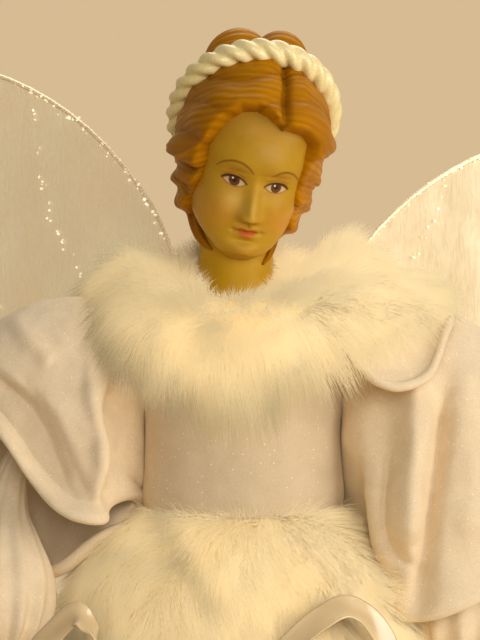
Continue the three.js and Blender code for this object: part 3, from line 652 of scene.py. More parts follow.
def face_relief(x, z):
    """How far the face stands out from a plain egg, at x across and z up from the eyes."""
    aside = np.abs(x)
    ridge = bell(x, mix(1.8, 2.1, smooth(-z, 0, 8)))
    ridge = ridge * smooth(-z, -3.5, 8.2) * (1 - smooth(-z, 8.3, 9.7))
    wings = 0.9 * hump(aside - 1.9, z + 7.9, 1.0, 0.95) - 0.35 * hump(aside - 1.2, z + 9.0, 0.6, 0.35)
    sockets = -1.35 * hump(aside - 5.3, z - 0.6, 3.5, 2.4) + 0.75 * hump(aside - 5.3, z - 0.3, 2.5, 1.5)
    lids = 0.22 * hump(aside - 5.3, z - 2.1, 3.0, 0.45) - 0.2 * hump(aside - 5.3, z - 3.0, 3.2, 0.45)
    brows = 0.35 * hump(aside - 5.8, z - 5.0, 4.5, 1.5)
    cheeks = 0.85 * hump(aside - 7.3, z + 6.4, 4, 4)
    mx, mz = MOUTH
    bow = 0.25 * bell(x - mx, 0.7)
    lips = 0.75 * hump(x - mx, z - mz - 0.95 + bow, 2.9, 0.75) + 1.0 * hump(x - mx, z - mz + 1.0, 2.3, 0.85)
    mouth = -0.65 * hump(x - mx, z - mz, 3.3, 0.3) - 0.35 * hump(np.abs(x - mx) - 3.6, z - mz, 0.6, 0.6)
    groove = -0.25 * hump(x, z + 9.9, 0.55, 0.7)
    chin = 1.0 * hump(x, z + 16.9, 3.2, 2.1) - 0.55 * hump(x, z + 14.0, 3, 0.9)
    return 3.2 * ridge + wings + sockets + lids + brows + cheeks + lips + mouth + groove + chin


def face_colours(x, y, z):
    """The hand-painted skin, blush, brows, eyes and lips, with painted shade and painted highlights laid over
    them.
    """
    front = smooth(-y, -2, 4)[:, None]
    colour = np.tile(tone(177, 136, 32), (len(x), 1))

    def lay(shade, share):
        nonlocal colour
        colour = mix(colour, tone(*shade), np.clip(share, 0, 1)[:, None] * front)

    lay((176, 124, 34), smooth(np.abs(x), 9, 14) * 0.5)
    for side in (-1, 1):
        lay((200, 130, 50), 0.5 * hump(x - side * 8.2, z + 7.6, 5, 4.2))
    # Painted shade under the chin.
    lay((166, 114, 42), 0.5 * hump(x, z + 17.5, 4.5, 2.6))
    # Painted shadow of the hair across the top of the forehead.
    lay((150, 106, 36), 0.55 * smooth(z, 8.5, 15.5))
    # Painted highlights on the forehead, the left cheek and the ridge of the nose.
    lay((202, 162, 96), 0.5 * hump(x - 2.2, z - 9.2, 3.6, 2.6))
    lay((206, 168, 88), 0.5 * hump(x + 4.6, z + 4.6, 3.4, 2.4))
    lay((204, 168, 88), 0.3 * hump(x - 0.4, z + 5.4, 0.9, 3.2))
    # Painted shade under the nose.
    lay((150, 98, 30), 0.5 * hump(x, z + 9.1, 1.7, 0.5))

    for cx, cz, slant in EYES:
        ex = x - cx
        side = 1 if cx > 0 else -1
        ez = z - cz - slant * ex
        lay((158, 108, 30), 0.65 * hump(ex - side * 0.4, ez - 2.2, 3.6, 1.7))
        lay((172, 118, 48), 0.45 * hump(ex, ez + 1.7, 3.2, 0.8))
        arch = np.clip(1 - (ex / 2.95) ** 2, 0, 1)
        upper = -0.1 + 1.15 * arch ** 0.75
        lower = -0.1 - 1.2 * arch ** 0.9
        edge = 0.14
        opened = smooth(upper - ez, -edge, edge) * smooth(ez - lower, -edge, edge) * (arch > 0)
        lay((198, 168, 126), opened)
        # Painted shade of the upper lid on the eye's white.
        lay((142, 108, 74), opened * smooth(ez, upper - 0.9, upper + 0.1) * 0.7)
        lay((176, 120, 84), opened * smooth(np.abs(ex), 1.9, 2.8) * 0.6)
        away = np.hypot(ex + 0.05, ez - 0.08)
        lay((78, 42, 24), opened * (1 - smooth(away, 1.25, 1.5)))
        lay((124, 70, 36), opened * (1 - smooth(away, 0.6, 1.2)) * smooth(-ez, -0.1, 0.7) * 0.7)
        lay((24, 12, 10), opened * (1 - smooth(away, 0.5, 0.7)))
        # A painted highlight: a small reflection on each eye.
        lay((240, 226, 200), opened * (1 - smooth(np.hypot(ex + 0.45, ez - 0.5), 0.14, 0.3)))
        reach = smooth(3.5 - np.abs(ex), 0, 0.5)
        lash = np.abs(ez - upper - 0.08)
        thick = 0.24 + 0.12 * smooth(side * ex, -1, 2.5)
        lay((58, 32, 14), (1 - smooth(lash, thick * 0.6, thick * 1.5)) * reach)
        lay((120, 66, 30), 0.75 * (1 - smooth(np.abs(ez - lower + 0.05), 0.05, 0.2)) * reach)
        crease = np.abs(ez - upper - 0.95 + 0.03 * ex ** 2)
        lay((142, 92, 36), 0.6 * (1 - smooth(crease, 0.06, 0.3)) * smooth(3.4 - np.abs(ex), 0, 1.2))

    brows = (
        ((-10.2, 3.1), (-9, 4.5), (-7.2, 5.4), (-4.6, 5.4), (-2.4, 4.3), (-1.0, 3.0)),
        ((4.0, 3.2), (5.4, 4.3), (7.2, 4.8), (9.3, 4.2), (11, 2.7)),
    )
    flat = np.column_stack([x, z])
    for line in brows:
        d, along = beside(flat, upright(line, 40)[:, [0, 2]])
        thin = 0.1 + 0.2 * np.sin(PI * np.clip(along, 0, 1)) ** 0.7
        lay((120, 74, 18), 0.85 * (1 - smooth(d, thin * 0.4, thin * 1.6)))

    mx, mz = MOUTH
    lx, lz = x - mx, z - mz
    wide = np.clip(1 - (lx / 3.2) ** 2, 0, 1)
    top = 1.15 * wide ** 0.8 - 0.3 * bell(lx, 0.65)
    bottom = -1.45 * np.clip(1 - (lx / 2.6) ** 2, 0, 1) ** 0.9
    lips = smooth(top - lz, -0.25, 0.3) * smooth(lz - bottom, -0.3, 0.3) * smooth(wide, 0, 0.25)
    lay((178, 92, 40), 0.8 * lips)
    # A painted highlight on the lower lip.
    lay((196, 86, 42), lips * hump(lx - 0.1, lz + 0.7, 1.4, 0.6) * 0.8)
    seam = np.abs(lz + 0.06 * np.cos(lx * 2))
    lay((132, 62, 22), 0.8 * (1 - smooth(seam, 0.05, 0.22)) * smooth(wide, 0, 0.2))
    return colour


def painted_head(finish):
    """The egg of the head with the face raised on its front. Its points crowd there, by way of t."""
    piece, way = unit_ball("painted_face", 320, 270)
    u = np.arctan2(way[:, 1], way[:, 0])
    share = 1 - np.arccos(np.clip(way[:, 2], -1, 1)) / PI
    heights = through((0, -19.5), (0.03, -19.2), (0.08, -17.6), (0.62, 6.5), (0.8, 15.5), (0.94, 23.4),
                      (1, 25))
    z = heights(share)
    t = u - 0.62 * np.cos(u)
    power = 0.88
    c, s = np.cos(t), np.sin(t)
    front, back = head_front(z), head_back(z)
    ends = np.minimum(smooth(share, 0, 0.02), smooth(1 - share, 0, 0.03))
    x = head_width(z) * np.sign(c) * np.abs(c) ** power * ends
    x = x - 1.0 * smooth(-x, 4, 10) * bell(z + 9.5, 5.5)
    y = (front + back) / 2 + (back - front) / 2 * np.sign(s) * np.abs(s) ** power * ends
    colours = face_colours(x, y, z)
    y = y - smooth(-s, 0.2, 0.75) * face_relief(x, z)
    settle(piece, on_head(np.column_stack([x, y, z])))
    paint(piece, colours)
    tidy_up(piece)
    fit(piece, finish, "figure", "painted_skin", "head")


def painted_neck(finish):
    """The neck, and the shoulder plate at its foot that the fur hides."""
    flare = through((0, 1), (0.05, 1), (0.13, 0.8), (0.22, 0.55), (0.3, 0.36))
    a = full_turn(96)
    rows = []
    for h in np.linspace(0, 1, 60):
        wide = deep = mix(NECK["base"], NECK["top"] + 0.9, np.sin(PI / 2 * h))
        if h < 0.32:
            wide = np.maximum(wide, 17 * flare(h))
            deep = np.maximum(deep, 9.5 * min(1, flare(h) * 1.3))
        lift = PLATE_BASE + h * (NECK["height"] + 1)
        rows.append(oval(a, wide, deep, lift, NECK["x"] - 0.7 + 1.2 * h, NECK["y"] - 1.5 * h))
    piece = cloth("painted_neck", closed_round(np.array(rows)))
    close_ends(piece)
    warm = np.clip(0.5 + 0.5 * cloudy(spots(piece) / MM, 7, 3), 0, 1)[:, None]
    paint(piece, mix(tone(169, 127, 12), tone(179, 136, 20), warm))
    fit(piece, finish, "figure", "painted_skin", "head")


# Hair

# Where the face shows between the locks, across and up on the upright head.
FACE_WINDOW = ((0, -24), (-8.5, -19), (-11.5, -13), (-13, -9), (-13.2, 7), (-12, 10.3), (-9.6, 14.6),
               (-6.4, 17.7), (-3, 18.5), (0, 17.5), (2.2, 15.8), (3.35, 14.5), (4.6, 15), (8.8, 14.4),
               (11.4, 12.2), (11.6, 8), (11.2, -2), (10.8, -7), (9.8, -12.6), (7, -19))

# The raised edge of the lock above the left temple, as seen from the front. Along it the hair is also painted
# lighter, a painted highlight.
LOCK_EDGE = ((-17.5, 323), (-15, 323.8), (-12.5, 325), (-10, 327), (-8, 329.4))


def from_the_ears(ball):
    """A ball's points with its poles at the ears: their angles across and around, and their directions."""
    across = np.arccos(np.clip(ball[:, 2], -1, 1))
    around = np.arctan2(ball[:, 1], ball[:, 0])
    way = np.column_stack([np.cos(across), -np.sin(across) * np.cos(around), np.sin(across) * np.sin(around)])
    return across, around, way


def carved_hair(finish):
    """The cap of locks, parted above the brow, with a window for the face."""
    piece, ball = unit_ball("carved_hair", 380, 230)
    across, around, way = from_the_ears(ball)
    way = unit(way + np.outer(way[:, 0] ** 2, [0, 0.75, -0.45]))
    depth = np.where(way[:, 1] < 0, HAIR["front"], HAIR["back"])
    height = np.where(way[:, 2] > 0, HAIR["up"], HAIR["down"])
    sizes = ((way[:, 0] / HAIR["width"]) ** 2, (way[:, 1] / depth) ** 2, (way[:, 2] / height) ** 2)
    reach = 1 / np.sqrt(sum(sizes))
    centre = np.array([0, HAIR["y"], HAIR["z"]])
    x, y, z = (way * reach[:, None] + centre).T

    curl = 14 * around + 2.4 * np.sin(4 * across + 0.6) + 0.8 * np.sin(7 * across)
    locks = 0.55 * (1.6 * np.abs(np.cos(curl / 2)) ** 0.7 - 1)
    strands = 0.07 * np.cos(52 * around + 5 * np.sin(4 * across + 0.6) + 1.5 * cloudy(way * 10, 2.5, 5))
    part_x = 3.1
    over = smooth(z, 9, 16) * smooth(-y, -9, 1)
    parting = 1.9 * bell(x - part_x, 1.0) * over
    crest = 0.9 * (bell(x - part_x - 4.2, 3) + bell(x - part_x + 5, 3.8)) * over
    fringe = 2.5 * bell(z - 15, 7) * smooth(-y, 2, 11)
    tier_edge = mix(1.0, 8.5, smooth(x, -6, 6))
    forward = smooth(-y, -9, -3)
    tier = 1.3 * smooth(z, tier_edge - 0.6, tier_edge + 0.9) * forward
    roll = 1.1 * bell(z - tier_edge - 2.2, 2.0) * forward * smooth(np.abs(x), 9, 14)
    side_waves = 0.75 * np.sin(2 * PI * (z + 0.25 * y) / 6.4 + 0.8 * np.sign(x)) * (1 - smooth(z, 0, 4))
    side_waves = side_waves * smooth(np.abs(x), 7, 12)

    flat = np.column_stack([x, z])
    gap, _ = beside(flat, FACE_WINDOW, True)
    gap = np.where(inside(flat, FACE_WINDOW), -gap, gap)
    cover = np.maximum(smooth(gap, -0.9, 0.5), smooth(y, -3, 3))
    lip = 0.5 * bell(gap - 1.1, 0.9) * smooth(-y, 0, 6)
    r = reach + locks + strands + crest + fringe + tier + roll + side_waves + lip - parting - 0.5
    r = r - 7 * (1 - cover)
    local = way * r[:, None] + centre
    fuller = through((-20, 1.25), (-15, 1.2), (-9, 1.12), (-3, 1.05), (3, 1.02), (9, 1))
    local[:, 0] = local[:, 0] * mix(1, fuller(local[:, 2]), cover)
    at = on_head(local)
    off, _ = beside(at[:, [0, 2]], LOCK_EDGE)
    lock_edge = bell(off, 0.5) * smooth(-at[:, 1], -4, 2)
    settle(piece, on_head(local + way * (0.45 * lock_edge)[:, None]))

    # Painted shade: darker in the hollows between the locks, along the parting, and over the whole left side.
    deep = np.clip(0.5 + locks / 1.1, 0, 1)[:, None]
    shade = mix(np.array([0.74, 0.68, 0.6]), np.ones(3), deep)
    shade = shade * (1 - 0.4 * np.clip(parting / 1.9, 0, 1))[:, None]
    # The factor with lock_edge is a painted highlight along the raised lock edge.
    shade = shade * (1 - 0.2 * smooth(-x, 5, 15))[:, None] * (1 + 0.45 * lock_edge)[:, None]
    paint(piece, shade)
    tidy_up(piece)
    fit(piece, finish, "figure", "painted_hair", "hair")


def hair_buns(finish):
    lobes = (("left", (-5.7, 15, 24.2), (0.93, 0.9, 1.0)), ("right", (4.5, 15, 25.4), (0.82, 0.9, 1.0)))
    for name, place, stretch in lobes:
        piece, ball = unit_ball(f"hair_bun_{name}", 144, 90)
        across, around, way = from_the_ears(ball)
        ridges = 0.2 * np.cos(22 * around + 1.2 * SIDES[name] * np.sin(2 * across)) * np.sin(across)
        settle(piece, on_head(way * (9.6 + ridges)[:, None] * np.array(stretch) + np.array(place)))
        # Painted shade and highlight: darker between the ridges and lighter on them, following the relief.
        paint(piece, np.tile(0.75 + 0.6 * (ridges + 0.2)[:, None], (1, 3)) * np.array([1, 0.97, 0.92]))
        tidy_up(piece)
        fit(piece, finish, "figure", "painted_hair", "hair")


def hair_napes(finish):
    """The two locks that end beside the neck: their runs, and how thick they are along them."""
    napes = (
        ("left", ((-12.4, 4, 313), (-11.9, 1, 309.5), (-11.1, -1.8, 306), (-9.8, -4.8, 303),
                  (-7.6, -7.4, 300.6)), (2.0, 2.1, 1.9, 1.4, 0.4)),
        ("right", ((8.4, 3, 309), (7.9, 0.5, 305.5), (7.2, -2.6, 302), (6.2, -5.2, 299), (5, -6.8, 297)),
         (1.4, 1.5, 1.3, 1.0, 0.3)),
    )
    a = full_turn(48)
    for name, places, sizes in napes:
        line = rail(places, 60)
        first, second = square_to(unit(np.gradient(line, axis=0)))
        girth = through(*zip(np.linspace(0, 1, len(sizes)), sizes))(np.linspace(0, 1, len(line)))
        r = girth[:, None] * (1 + 0.12 * np.cos(5 * a)[None])
        grid = line[:, None] + first[:, None] * (r * np.cos(a))[..., None]
        grid = grid + second[:, None] * (r * np.sin(a))[..., None]
        piece = cloth(f"hair_nape_{name}", closed_round(grid))
        close_ends(piece)
        # Both nape locks are painted darker and duller than the rest of the hair: painted shade, as they lie
        # in shadow beside the neck.
        paint(piece, np.tile([0.66, 0.6, 0.52], (len(piece.data.vertices), 1)))
        fit(piece, finish, "figure", "painted_hair", "hair")


def rope_band(finish):
    turns, strands, thick = ROPE["turns"], ROPE["strands"], ROPE["thick"]
    piece = start("rope_band", bpy.ops.mesh.primitive_torus_add, major_segments=turns * strands * 16,
                  minor_segments=36, major_radius=1, minor_radius=0.25)
    p = spots(piece)
    a = np.arctan2(p[:, 1], p[:, 0])
    t = np.arctan2(p[:, 2], np.hypot(p[:, 0], p[:, 1]) - 1)
    lean = np.radians(ROPE["tilt"])
    normal = np.array([0, np.sin(lean), np.cos(lean)])
    rise = ROPE["long"] * np.cos(a)
    middle = np.column_stack([ROPE["wide"] * np.sin(a), ROPE["y"] - rise * np.cos(lean),
                              ROPE["z"] + rise * np.sin(lean)])
    slope = -ROPE["long"] * np.sin(a)
    along = unit(np.column_stack([ROPE["wide"] * np.cos(a), -slope * np.cos(lean), slope * np.sin(lean)]))
    out = np.cross(along, normal)
    lay = strands * (t + turns * a)
    off = (np.mod(lay, 2 * PI) - PI) / strands
    middle_off, strand = 0.43, 0.57  # a strand's middle and radius, as shares of the rope's radius
    lobe = np.sqrt(np.maximum(strand ** 2 - (middle_off * np.sin(off)) ** 2, 0))
    r = thick * np.maximum(middle_off * np.cos(off) + lobe, 0.5)
    settle(piece, on_head(middle + r[:, None] * (out * np.cos(t)[:, None] + normal * np.sin(t)[:, None])))
    # The mask worn darkens and yellows the rope towards its left end: painted shade, with the warm colour
    # that the hair reflects onto it, not wear.
    worn = smooth(-middle[:, :1], 8, 19)
    paint(piece, mix(np.ones(3), np.array([0.88, 0.85, 0.72]), worn))
    tidy_up(piece)
    fit(piece, finish, "figure", "rope_pearl", "headband_rope")


# Fur

def plump(t, w, source, target, trim, upper):
    """A point of a plump trim: t round the figure, w from its inner edge to its outer edge."""
    along = target - source
    flat = oval(t, 1, 1, 0)
    share = np.sum(flat * along, axis=1) / np.sum(along * along, axis=1)
    out = unit(flat - along * share[:, None])
    full = np.sqrt(np.clip(1 - (2 * w - 1) ** 2, 0, 1))
    lift = upper * trim["thick"] / 2 * full + trim["puff"] * np.sin(PI * w)
    return source + along * w[:, None] + out * lift[:, None]


# The collar's outer edge, from the middle of its back round by the left and the front to the right.
COLLAR_EDGE = rail(((3, 18, 270), (-14, 17, 273), (-27, 13, 281), (-35, 7, 289.5), (-37, 1, 291.5),
                    (-34.5, -8, 285.5), (-31.5, -16, 278.5), (-26.5, -22.5, 273), (-12, -28, 263.5),
                    (3, -29.5, 263.5), (14, -28, 269.5), (24, -25, 276), (31.5, -21.5, 279.5),
                    (37.5, -18, 282), (43.5, -12.5, 285), (47, -3.5, 288.5), (43.5, 7, 290), (33, 13, 282),
                    (19, 17, 273)), 720, True)
COLLAR_ANGLE = np.unwrap(np.arctan2(COLLAR_EDGE[:, 1] - COLLAR["y"], COLLAR_EDGE[:, 0] - COLLAR["x"]))


def collar_point(t, w, upper):
    """From the neck, where the collar dips to the right, to its outer edge."""
    dip = 3.2 * smooth(np.cos(t + 0.35), 0.55, 1)
    lift = CORE_TOP + 14.7 + 6.5 * np.sin(t) - dip
    source = oval(t, COLLAR["neck"], COLLAR["neck"], lift, NECK["x"], NECK["y"])
    order = np.argsort(COLLAR_ANGLE)
    places = np.concatenate([COLLAR_ANGLE[order], COLLAR_ANGLE[order][:1] + 2 * PI])
    turned = places[0] + np.mod(t - places[0], 2 * PI)
    edge = np.vstack([COLLAR_EDGE[order], COLLAR_EDGE[order][:1]])
    target = np.column_stack([np.interp(turned, places, edge[:, k]) for k in range(3)])
    spot = plump(t, w, source, target, COLLAR, upper)
    behind = smooth(spot[:, 1], -6, 4) * np.sin(PI * np.clip(w, 0, 1))
    spot[:, 2] += behind * (4.2 * bell(spot[:, 0] - 27, 9) - 2.4 * bell(spot[:, 0] + 14, 8))
    return spot


def peplum_point(t, w, upper):
    """From the waist to the flared hem, with the left side a little fuller near its top."""
    h = 14.7 - PEPLUM["thick"] / 2
    stand = 0.6 + VELVET + PEPLUM["thick"] / 16
    top = PEPLUM["top"] - PEPLUM["thick"] / 4
    source = oval(t, core_width(h) + stand, core_depth(h) + stand, top)
    target = oval(t, PEPLUM["width"], PEPLUM["depth"], PEPLUM["hem"])
    spot = plump(t, w, source, target, PEPLUM, upper)
    spot[:, 0] -= 4.5 * smooth(-np.cos(t), 0.3, 1) * bell(w - 0.32, 0.3)
    return spot


def fur_skin(name, form, finish, node, span=(0.03, 0.97), shades=True):
    """The backing that the hairs are rooted in, a closed ring a little slimmer than the whole trim.

    Light passes through fur, so a part of the backing may be set to cast no shadow.
    """
    a = full_turn(40)
    w = (1 - np.cos(a)) / 2
    upper = np.where(np.sin(a) < 0, -0.6, 0.6)
    rows = [form(np.full_like(a, t), mix(*span, w), upper) for t in full_turn(160)]
    rows.append(rows[0])
    piece = cloth(name, closed_round(np.array(rows)))
    fit(piece, finish, "figure", "faux_fur", node)
    piece.visible_shadow = shades


def one_hair():
    """One hair, a slim cone cut once along its length so that it can bend."""
    piece = start("hair_pattern", bpy.ops.mesh.primitive_cone_add, vertices=3, radius1=1, radius2=0, depth=1,
                  location=(0, 0, 0.5))
    bpy.ops.object.transform_apply(location=True, rotation=True, scale=True)
    all_over(piece, (bpy.ops.mesh.bisect, {"plane_co": (0, 0, 0.5), "plane_no": (0, 0, 1)}))
    return pattern_of(piece)


def plant(name, pattern, roots, normals, ways, droop, lengths, widths, colours):
    """Copies one hair to every root, leaned, bent and tinted there, in one mesh."""
    shape, faces = pattern
    side = unit(np.cross(ways, normals))
    over = np.cross(ways, side)
    h = shape[:, 2]
    fat = 1 - 0.55 * h ** 2
    middle = roots[:, None] + ways[:, None] * (h * lengths[:, None])[..., None]
    middle = middle + droop[:, None] * (h ** 2 * lengths[:, None])[..., None]
    points = middle + side[:, None] * (shape[:, 0] * widths[:, None] * fat)[..., None]
    points = points + over[:, None] * (shape[:, 1] * widths[:, None] * fat)[..., None]
    piece = many(name, points, faces)
    mesh = piece.data
    mesh.polygons.foreach_set("use_smooth", np.ones(len(mesh.polygons), bool))
    # Each hair is painted darker near its root: painted shade, as deep in the pile.
    root_shade = 0.94 + 0.06 * smooth(h, 0, 0.5)
    paint(piece, (colours[:, None] * root_shade[None, :, None]).reshape(-1, 3))
    radial = unit(side[:, None] * shape[None, :, :1] + over[:, None] * shape[None, :, 1:2])
    lean = np.outer(smooth(roots[:, 0], -15, 40), [0.46, 0, 0]) + np.array([0.04, -0.34, 0.36])
    soft = unit(0.66 * normals[:, None] + 0.16 * radial + 0.12 * ways[:, None] + lean[:, None])
    mesh.normals_split_custom_set_from_vertices(soft.reshape(-1, 3).tolist())
    return piece


def grow(name, form, flow, seed, finish, node, pattern, furrow=None):
    """Fur over a trim's outer side: roots spread evenly, laid along the flow in soft tufts.

    A furrow is a line, as seen from the front, along which the fur is painted darker, a painted shade as in a
    crease.
    """
    rng = np.random.default_rng(seed)
    spare = FUR["hairs"] * 4
    t = rng.uniform(0, 2 * PI, spare)
    w = rng.uniform(0.0, 1.0, spare)
    e, root = 1e-3, FUR["root"]
    here = form(t, w, root)
    dt = (form(t + e, w, root) - here) / e
    dw = (form(t, np.clip(w + e, 0, 1), root) - form(t, np.clip(w - e, 0, 1), root)) / e
    area = np.linalg.norm(np.cross(dt, dw), axis=1)
    keep = rng.uniform(0, 1, spare) < area / np.percentile(area, 97) * 0.8
    picked = np.flatnonzero(keep)[:FUR["hairs"]]
    t, w, here, dt, dw = (v[picked] for v in (t, w, here, dt, dw))
    normal = unit(np.cross(dt, dw))
    core = form(t, np.full_like(t, 0.5), -0.3)
    normal = normal * np.sign(np.sum(normal * (here - core), axis=1))[:, None]
    fade = smooth(w, 0.8, 1.0)[:, None]
    normal = unit(normal + unit(dw) * fade * 0.8)
    rim = (1 - smooth(w, 0.0, 0.35))[:, None]
    shown = unit(normal + 0.34 * clouds(here, 7.0, seed + 31) + rim * np.array([0.35, -0.95, 0.75]))
    lit = unit(np.array([0.45, -0.75, 0.5]))
    shy = np.clip(0.6 - shown @ lit, 0, 1) * (1 - smooth(w, 0.3, 0.6))
    shown = unit(shown + np.outer(1.8 * shy, lit))
    way, bend, long = flow(t, w, here, unit(dt), unit(dw), normal, rng)
    lengths = FUR["length"] * long * rng.uniform(0.72, 1.12, len(t))
    tufts = 0.5 + 0.5 * cloudy(here, 4.0, seed + 7)
    light = np.clip(0.5 + 0.3 * (tufts - 0.5) + rng.normal(0, 0.14, len(t)), 0, 1)[:, None]
    # The outer fringe is painted darker, more on the left and at the front: painted shade where the fringe
    # turns down and away from the light.
    fringe_shade = mix(0.46, 0.2, smooth(here[:, 0], 5, 32)) * smooth(w, 0.6, 1.0)
    fringe_shade = fringe_shade * mix(0.5, 1, smooth(-here[:, 1], 8, 20))
    colours = mix(tone(244, 217, 166), tone(251, 232, 189), light) * (1 - fringe_shade)[:, None]
    # Painted shade along the furrow.
    if furrow:
        off, _ = beside(here[:, [0, 2]], furrow)
        colours = colours * (1 - 0.3 * bell(off, 2.8) * smooth(-here[:, 1], 4, 12))[:, None]
    widths = rng.uniform(FUR["thin"], FUR["thick"], len(t))
    batch = int(np.ceil(len(t) / FUR["pieces"]))
    for k in range(FUR["pieces"]):
        part = slice(k * batch, (k + 1) * batch)
        piece = plant(f"{name}_{k + 1}", pattern, here[part], shown[part], way[part], bend[part],
                      lengths[part], widths[part], colours[part])
        fit(piece, finish, "figure", "faux_fur", node)
        piece.visible_shadow = False


def collar_flow(t, w, here, dt, dw, normal, rng):
    """Hairs that stand up at the neck and lie outwards and down towards the edge."""
    tuft, fine = clouds(here, 5.5, 11), clouds(here, 2.2, 14)
    throat = smooth(-np.sin(t), 0.55, 0.95)
    inner = 1 - smooth(w, 0.0, 0.16)
    lean = (mix(0.75, 1.25, smooth(w, 0.0, 0.7)) - 1.2 * inner * (1 - 0.75 * throat))[:, None]
    way = unit(dw * lean + normal * mix(0.95, 0.5, w)[:, None] + 0.34 * tuft + 0.18 * fine
               + rng.normal(0, 0.13, here.shape))
    bend = np.array([0, 0, -0.16]) + 0.1 * tuft
    long = mix(0.62, 1.0, smooth(w, 0.02, 0.35)) * (1 + 0.12 * tuft[:, 0]) * (1 - 0.35 * inner * throat)
    return way, bend, long


def peplum_flow(t, w, here, dt, dw, normal, rng):
    """Hairs that fall from the waist and are brushed sideways lower down."""
    tuft, fine = clouds(here, 6.5, 21), clouds(here, 2.4, 24)
    brushed = (0.15 + 0.6 * smooth(w, 0.25, 0.75))[:, None] * dt
    brushed = brushed * (0.6 + 0.7 * cloudy(here, 16, 27))[:, None]
    front = 1 - smooth(np.abs(np.cos(t)), 0.55, 0.85)
    raised = (front * (1 - smooth(w, 0.0, 0.13)) * (0.55 + 0.45 * cloudy(here, 9, 28)))[:, None]
    way = unit(dw * mix(1.0, 0.8, w)[:, None] + brushed + normal * 0.55 + 0.5 * tuft + 0.24 * fine
               + raised * np.array([0, 0, 1.5]) + rng.normal(0, 0.13, here.shape))
    bend = np.array([0, 0, -0.2]) + 0.14 * tuft
    long = mix(0.7, 1.0, smooth(w, 0.0, 0.25)) * (1 + 0.12 * tuft[:, 0])
    return way, bend, long


def shoulder_cap(finish):
    """The small cap with a rolled edge that lies on the right sleeve, below the collar."""
    edge = rail(((26.5, -24, 274), (31.5, -26, 268.6), (34, -26, 267.5), (37.75, -25, 266.6),
                 (43, -22.5, 267.8), (46, -20.5, 270), (48.25, -17.5, 274.25), (50.25, -14, 279.5),
                 (52.3, -9.5, 283.3)), 90)
    inner = rail(((25.5, -22.5, 278), (29, -22, 278), (32, -21, 278.5), (35, -19.5, 279.5), (38, -17.5, 281),
                  (40.5, -15.5, 282.5), (43, -13, 284), (46, -10, 285.8), (48.5, -6.5, 287.3)), 90)
    rows = []
    for share in np.linspace(0, 0.86, 16):
        rows.append(mix(inner, edge, share) + np.array([0, 2.6 * np.sin(PI * share), 0]))
    down = unit(edge - inner)
    lip = unit(np.cross(np.gradient(edge, axis=0), down))
    lip = lip * np.sign(-lip[:, 1:2])
    for angle in np.linspace(-0.5 * PI, 0.9 * PI, 14):
        rows.append(edge + 0.75 * (down * np.cos(angle) + lip * np.sin(angle)))
    points = np.array(rows)
    points = points + 0.25 * cloudy(points.reshape(-1, 3), 6, 45).reshape(points.shape[:2] + (1,))
    piece = cloth("shoulder_cap_right", points, THICK["cap"])
    fit(piece, finish, "arm_right", "velvet", "bell_sleeve_right")


# Velvet

def folded(points, lines, step=None):
    """Pushes soft ridges and valleys into a grid of points, along lines given as seen from the front.

    A step sets back all that lies on the outer side of its line, as under a fold that laps over.
    """
    rows, columns = points.shape[:2]
    flat = points.reshape(-1, 3)
    seen = flat[:, [0, 2]]
    shift = np.zeros(len(flat))
    for line, wide, high in lines:
        d, along = beside(seen, upright(line, 40)[:, [0, 2]])
        taper = smooth(along, 0, 0.12) * smooth(1 - along, 0, 0.12)
        shift += high * bell(d, wide) * mix(0.35, 1, taper)
    if step:
        line, soft, deep = step
        curve = upright(line, 60)[:, [0, 2]]
        near = np.argmin(np.linalg.norm(seen[:, None] - curve[None], axis=2), axis=1)
        ahead = unit(np.gradient(curve, axis=0))[near]
        off = seen - curve[near]
        beyond = ahead[:, 1] * off[:, 0] - ahead[:, 0] * off[:, 1]
        share = near / (len(curve) - 1)
        ends = smooth(share, 0.0, 0.25) * (1 - smooth(share, 0.76, 1.0))
        shift += deep * smooth(beyond, -0.25 * soft, soft) * (1 - smooth(beyond, 12, 20)) * ends
    front = smooth(-flat[:, 1], -2, 6)
    moved = flat.copy()
    moved[:, 1] -= shift * front
    return moved.reshape(rows, columns, 3)


def over_core(h):
    """Half the width and half the depth of velvet that lies on the core."""
    return core_width(h) + BODICE["gap"] + VELVET, core_depth(h) + BODICE["gap"] + VELVET


def bodice(finish):
    """The core's own shape, filled out at the sides so that it meets the sleeves."""
    a = full_turn(160)
    rows = []
    for h in np.linspace(BODICE["low"], BODICE["high"], 72):
        wide, deep = over_core(h)
        if h < 48:
            wide = np.maximum(wide, BODICE["side"] * smooth(h, -2, 12) + 0.5 * bell(h - 17.5, 4))
        ring = oval(a, wide, deep, CORE_BASE + h)
        out = unit(ring * np.array([1 / wide ** 2, 1 / deep ** 2, 0]))
        soft = 0.32 * cloudy(ring * np.array([1, 1, 0.6]), 9, 31) + 0.12 * cloudy(ring, 3.5, 32)
        rows.append(ring + out * soft[:, None])
    piece = cloth("velvet_bodice", closed_round(np.array(rows)), THICK["bodice"])
    fit(piece, finish, "figure", "velvet", "bodice")


